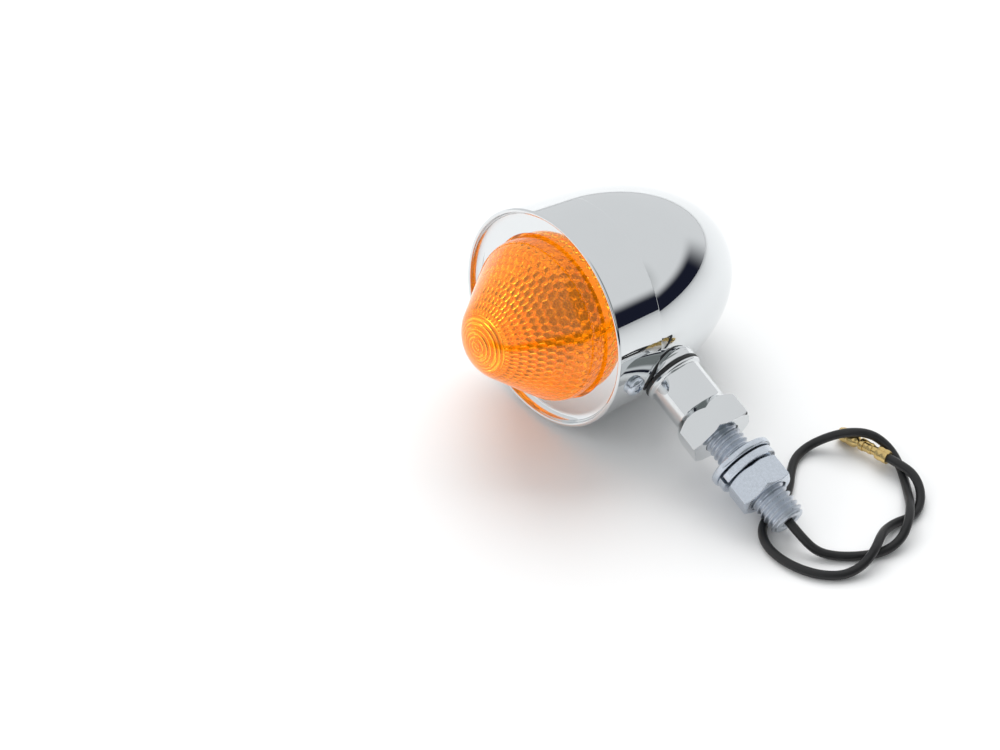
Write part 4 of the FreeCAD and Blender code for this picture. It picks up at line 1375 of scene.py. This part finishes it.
@dataclass
class Studio:
    """Camera, table and soft light. Places in metres."""

    eye: Vector = field(default_factory=lambda: Vector((0.3433, 0.3374, 0.4954)))
    forward: Vector = field(default_factory=lambda: Vector((-0.46128, -0.53598, -0.70707)))
    right: Vector = field(default_factory=lambda: Vector((-0.77007, 0.63767, 0.01901)))
    focal_mm: float = 93.69

    def camera(self) -> None:
        """Place the camera."""
        data = bpy.data.cameras.new("studio_camera")
        data.sensor_width = 36.0
        data.lens = self.focal_mm
        data.clip_start = 0.01
        data.clip_end = 50.0
        camera = bpy.data.objects.new("studio_camera", data)
        bpy.context.scene.collection.objects.link(camera)
        back = -self.forward.normalized()
        right = (self.right - back * self.right.dot(back)).normalized()
        up = back.cross(right)
        turn = Matrix([[column[row] for column in (right, up, back)] for row in range(3)])
        camera.matrix_world = Matrix.Translation(self.eye) @ turn.to_4x4()
        bpy.context.scene.camera = camera

    def table(self) -> None:
        """Place the pale table."""
        half = 4.0
        floor = mesh_piece("pale_table", [(-half, -half, 0), (half, -half, 0), (half, half, 0),
                                          (-half, half, 0)], [(0, 1, 2, 3)], Matrix())
        floor.data.materials.append(TableTop().material())

    def soft_box(self, name: str, place: Vector, aim: Vector, size: tuple[float, float],
                 power: float) -> None:
        """A rectangular soft light that lights the lamp without a mirror image in its chrome.

        Args:
            name: the light's name.
            place: where it hangs.
            aim: the point it faces.
            size: its width and height.
            power: its power in watts.
        """
        data = bpy.data.lights.new(name, "AREA")
        data.shape = "RECTANGLE"
        data.size, data.size_y = size
        data.energy = power
        light = bpy.data.objects.new(name, data)
        bpy.context.scene.collection.objects.link(light)
        light.visible_glossy = False
        light.location = place
        light.rotation_euler = (aim - place).to_track_quat("-Z", "Y").to_euler()

    def _facing(self, tree: bpy.types.NodeTree, direction: Vector, start: float,
                end: float) -> bpy.types.NodeSocket:
        """How much a line of sight faces a direction, from 0 at start to 1 at end.

        Args:
            tree: the room's node tree.
            direction: the direction.
            start: cosine at which the effect starts.
            end: cosine at which it is full.

        Returns:
            The socket with the amount.
        """
        sight = tree.nodes.new("ShaderNodeTexCoord")
        cosine = tree.nodes.new("ShaderNodeVectorMath")
        cosine.operation = "DOT_PRODUCT"
        cosine.inputs[1].default_value = direction.normalized()
        tree.links.new(sight.outputs["Generated"], cosine.inputs[0])
        amount = tree.nodes.new("ShaderNodeMapRange")
        amount.interpolation_type = "SMOOTHSTEP"
        amount.inputs["From Min"].default_value = start
        amount.inputs["From Max"].default_value = end
        tree.links.new(cosine.outputs["Value"], amount.inputs["Value"])
        return amount.outputs["Result"]

    def _paint(self, tree: bpy.types.NodeTree, under: bpy.types.NodeSocket,
               amount: bpy.types.NodeSocket,
               colour: tuple[float, float, float]) -> bpy.types.NodeSocket:
        """Paint a colour over the room where the amount is high.

        Args:
            tree: the room's node tree.
            under: the colour so far.
            amount: how much of the new colour shows.
            colour: the new colour.

        Returns:
            The socket with the new colour.
        """
        mix = tree.nodes.new("ShaderNodeMix")
        mix.data_type = "RGBA"
        mix.inputs["B"].default_value = (*colour, 1)
        tree.links.new(under, mix.inputs["A"])
        tree.links.new(amount, mix.inputs["Factor"])
        return mix.outputs["Result"]

    def room(self) -> None:
        """A pale tent, with a grey opening on the near side and a dark skirt below it."""
        world = bpy.data.worlds.new("studio_room")
        bpy.context.scene.world = world
        world.use_nodes = True
        tree = world.node_tree
        backdrop = tree.nodes["Background"]
        tent = tree.nodes.new("ShaderNodeRGB")
        tent.outputs["Color"].default_value = (0.86, 0.87, 0.88, 1)
        opening = self._facing(tree, Vector((-0.10, 0.72, 0.66)), 0.72, 0.90)
        painted = self._paint(tree, tent.outputs["Color"], opening, (0.27, 0.29, 0.285))
        low = self._facing(tree, Vector((0, 0, -1)), -0.30, -0.16)
        near_side = self._facing(tree, Vector((0.10, 1.0, 0)), -0.10, 0.30)
        skirt = tree.nodes.new("ShaderNodeMath")
        skirt.operation = "MULTIPLY"
        tree.links.new(low, skirt.inputs[0])
        tree.links.new(near_side, skirt.inputs[1])
        painted = self._paint(tree, painted, skirt.outputs["Value"], (0.012, 0.014, 0.028))
        tree.links.new(painted, backdrop.inputs["Color"])
        backdrop.inputs["Strength"].default_value = 0.95

    def build(self) -> None:
        """Build the studio."""
        self.camera()
        self.table()
        self.room()
        centre = Vector((0.0, 0.0, 0.02))
        self.soft_box("overhead_box", Vector((-0.5, -0.6, 1.0)), centre, (1.3, 1.0), 12.0)
        self.soft_box("side_box", Vector((0.9, -0.6, 0.55)), centre, (0.6, 0.8), 3.0)
        bpy.context.scene.view_settings.view_transform = "Standard"


# ---------------------------------------------------------------- main


def main() -> None:
    """Build the whole scene in order."""
    logging.basicConfig(level=logging.INFO, format="%(message)s")
    axes = LampAxes()
    bullet, stem = axes.bullet(), axes.stem()
    Studio().build()
    FreeLead(axes).build()
    Housing(bullet, stem).build()
    VisorBezel(bullet).build()
    Lens(bullet).build()
    BezelScrew(bullet).build()
    BulbAndSocket(bullet).build()
    NeckGasket(stem).build()
    Stay(stem).build()
    Stud(stem).build()
    Washers(stem).build()
    HexNut("mounting_nut_hexagon", stem, 62.8, 7.6, 5.05, math.radians(-3)).build(
        Body.NUT, "mounting_nut")
    HexNut("inner_nut_hexagon", stem, 18.7, 5.0, 5.05, 0.0).build(Body.STAY, "inner_nut")
    repaint("inner_lock_washer", ZINC)


if __name__ == "__main__":
    main()
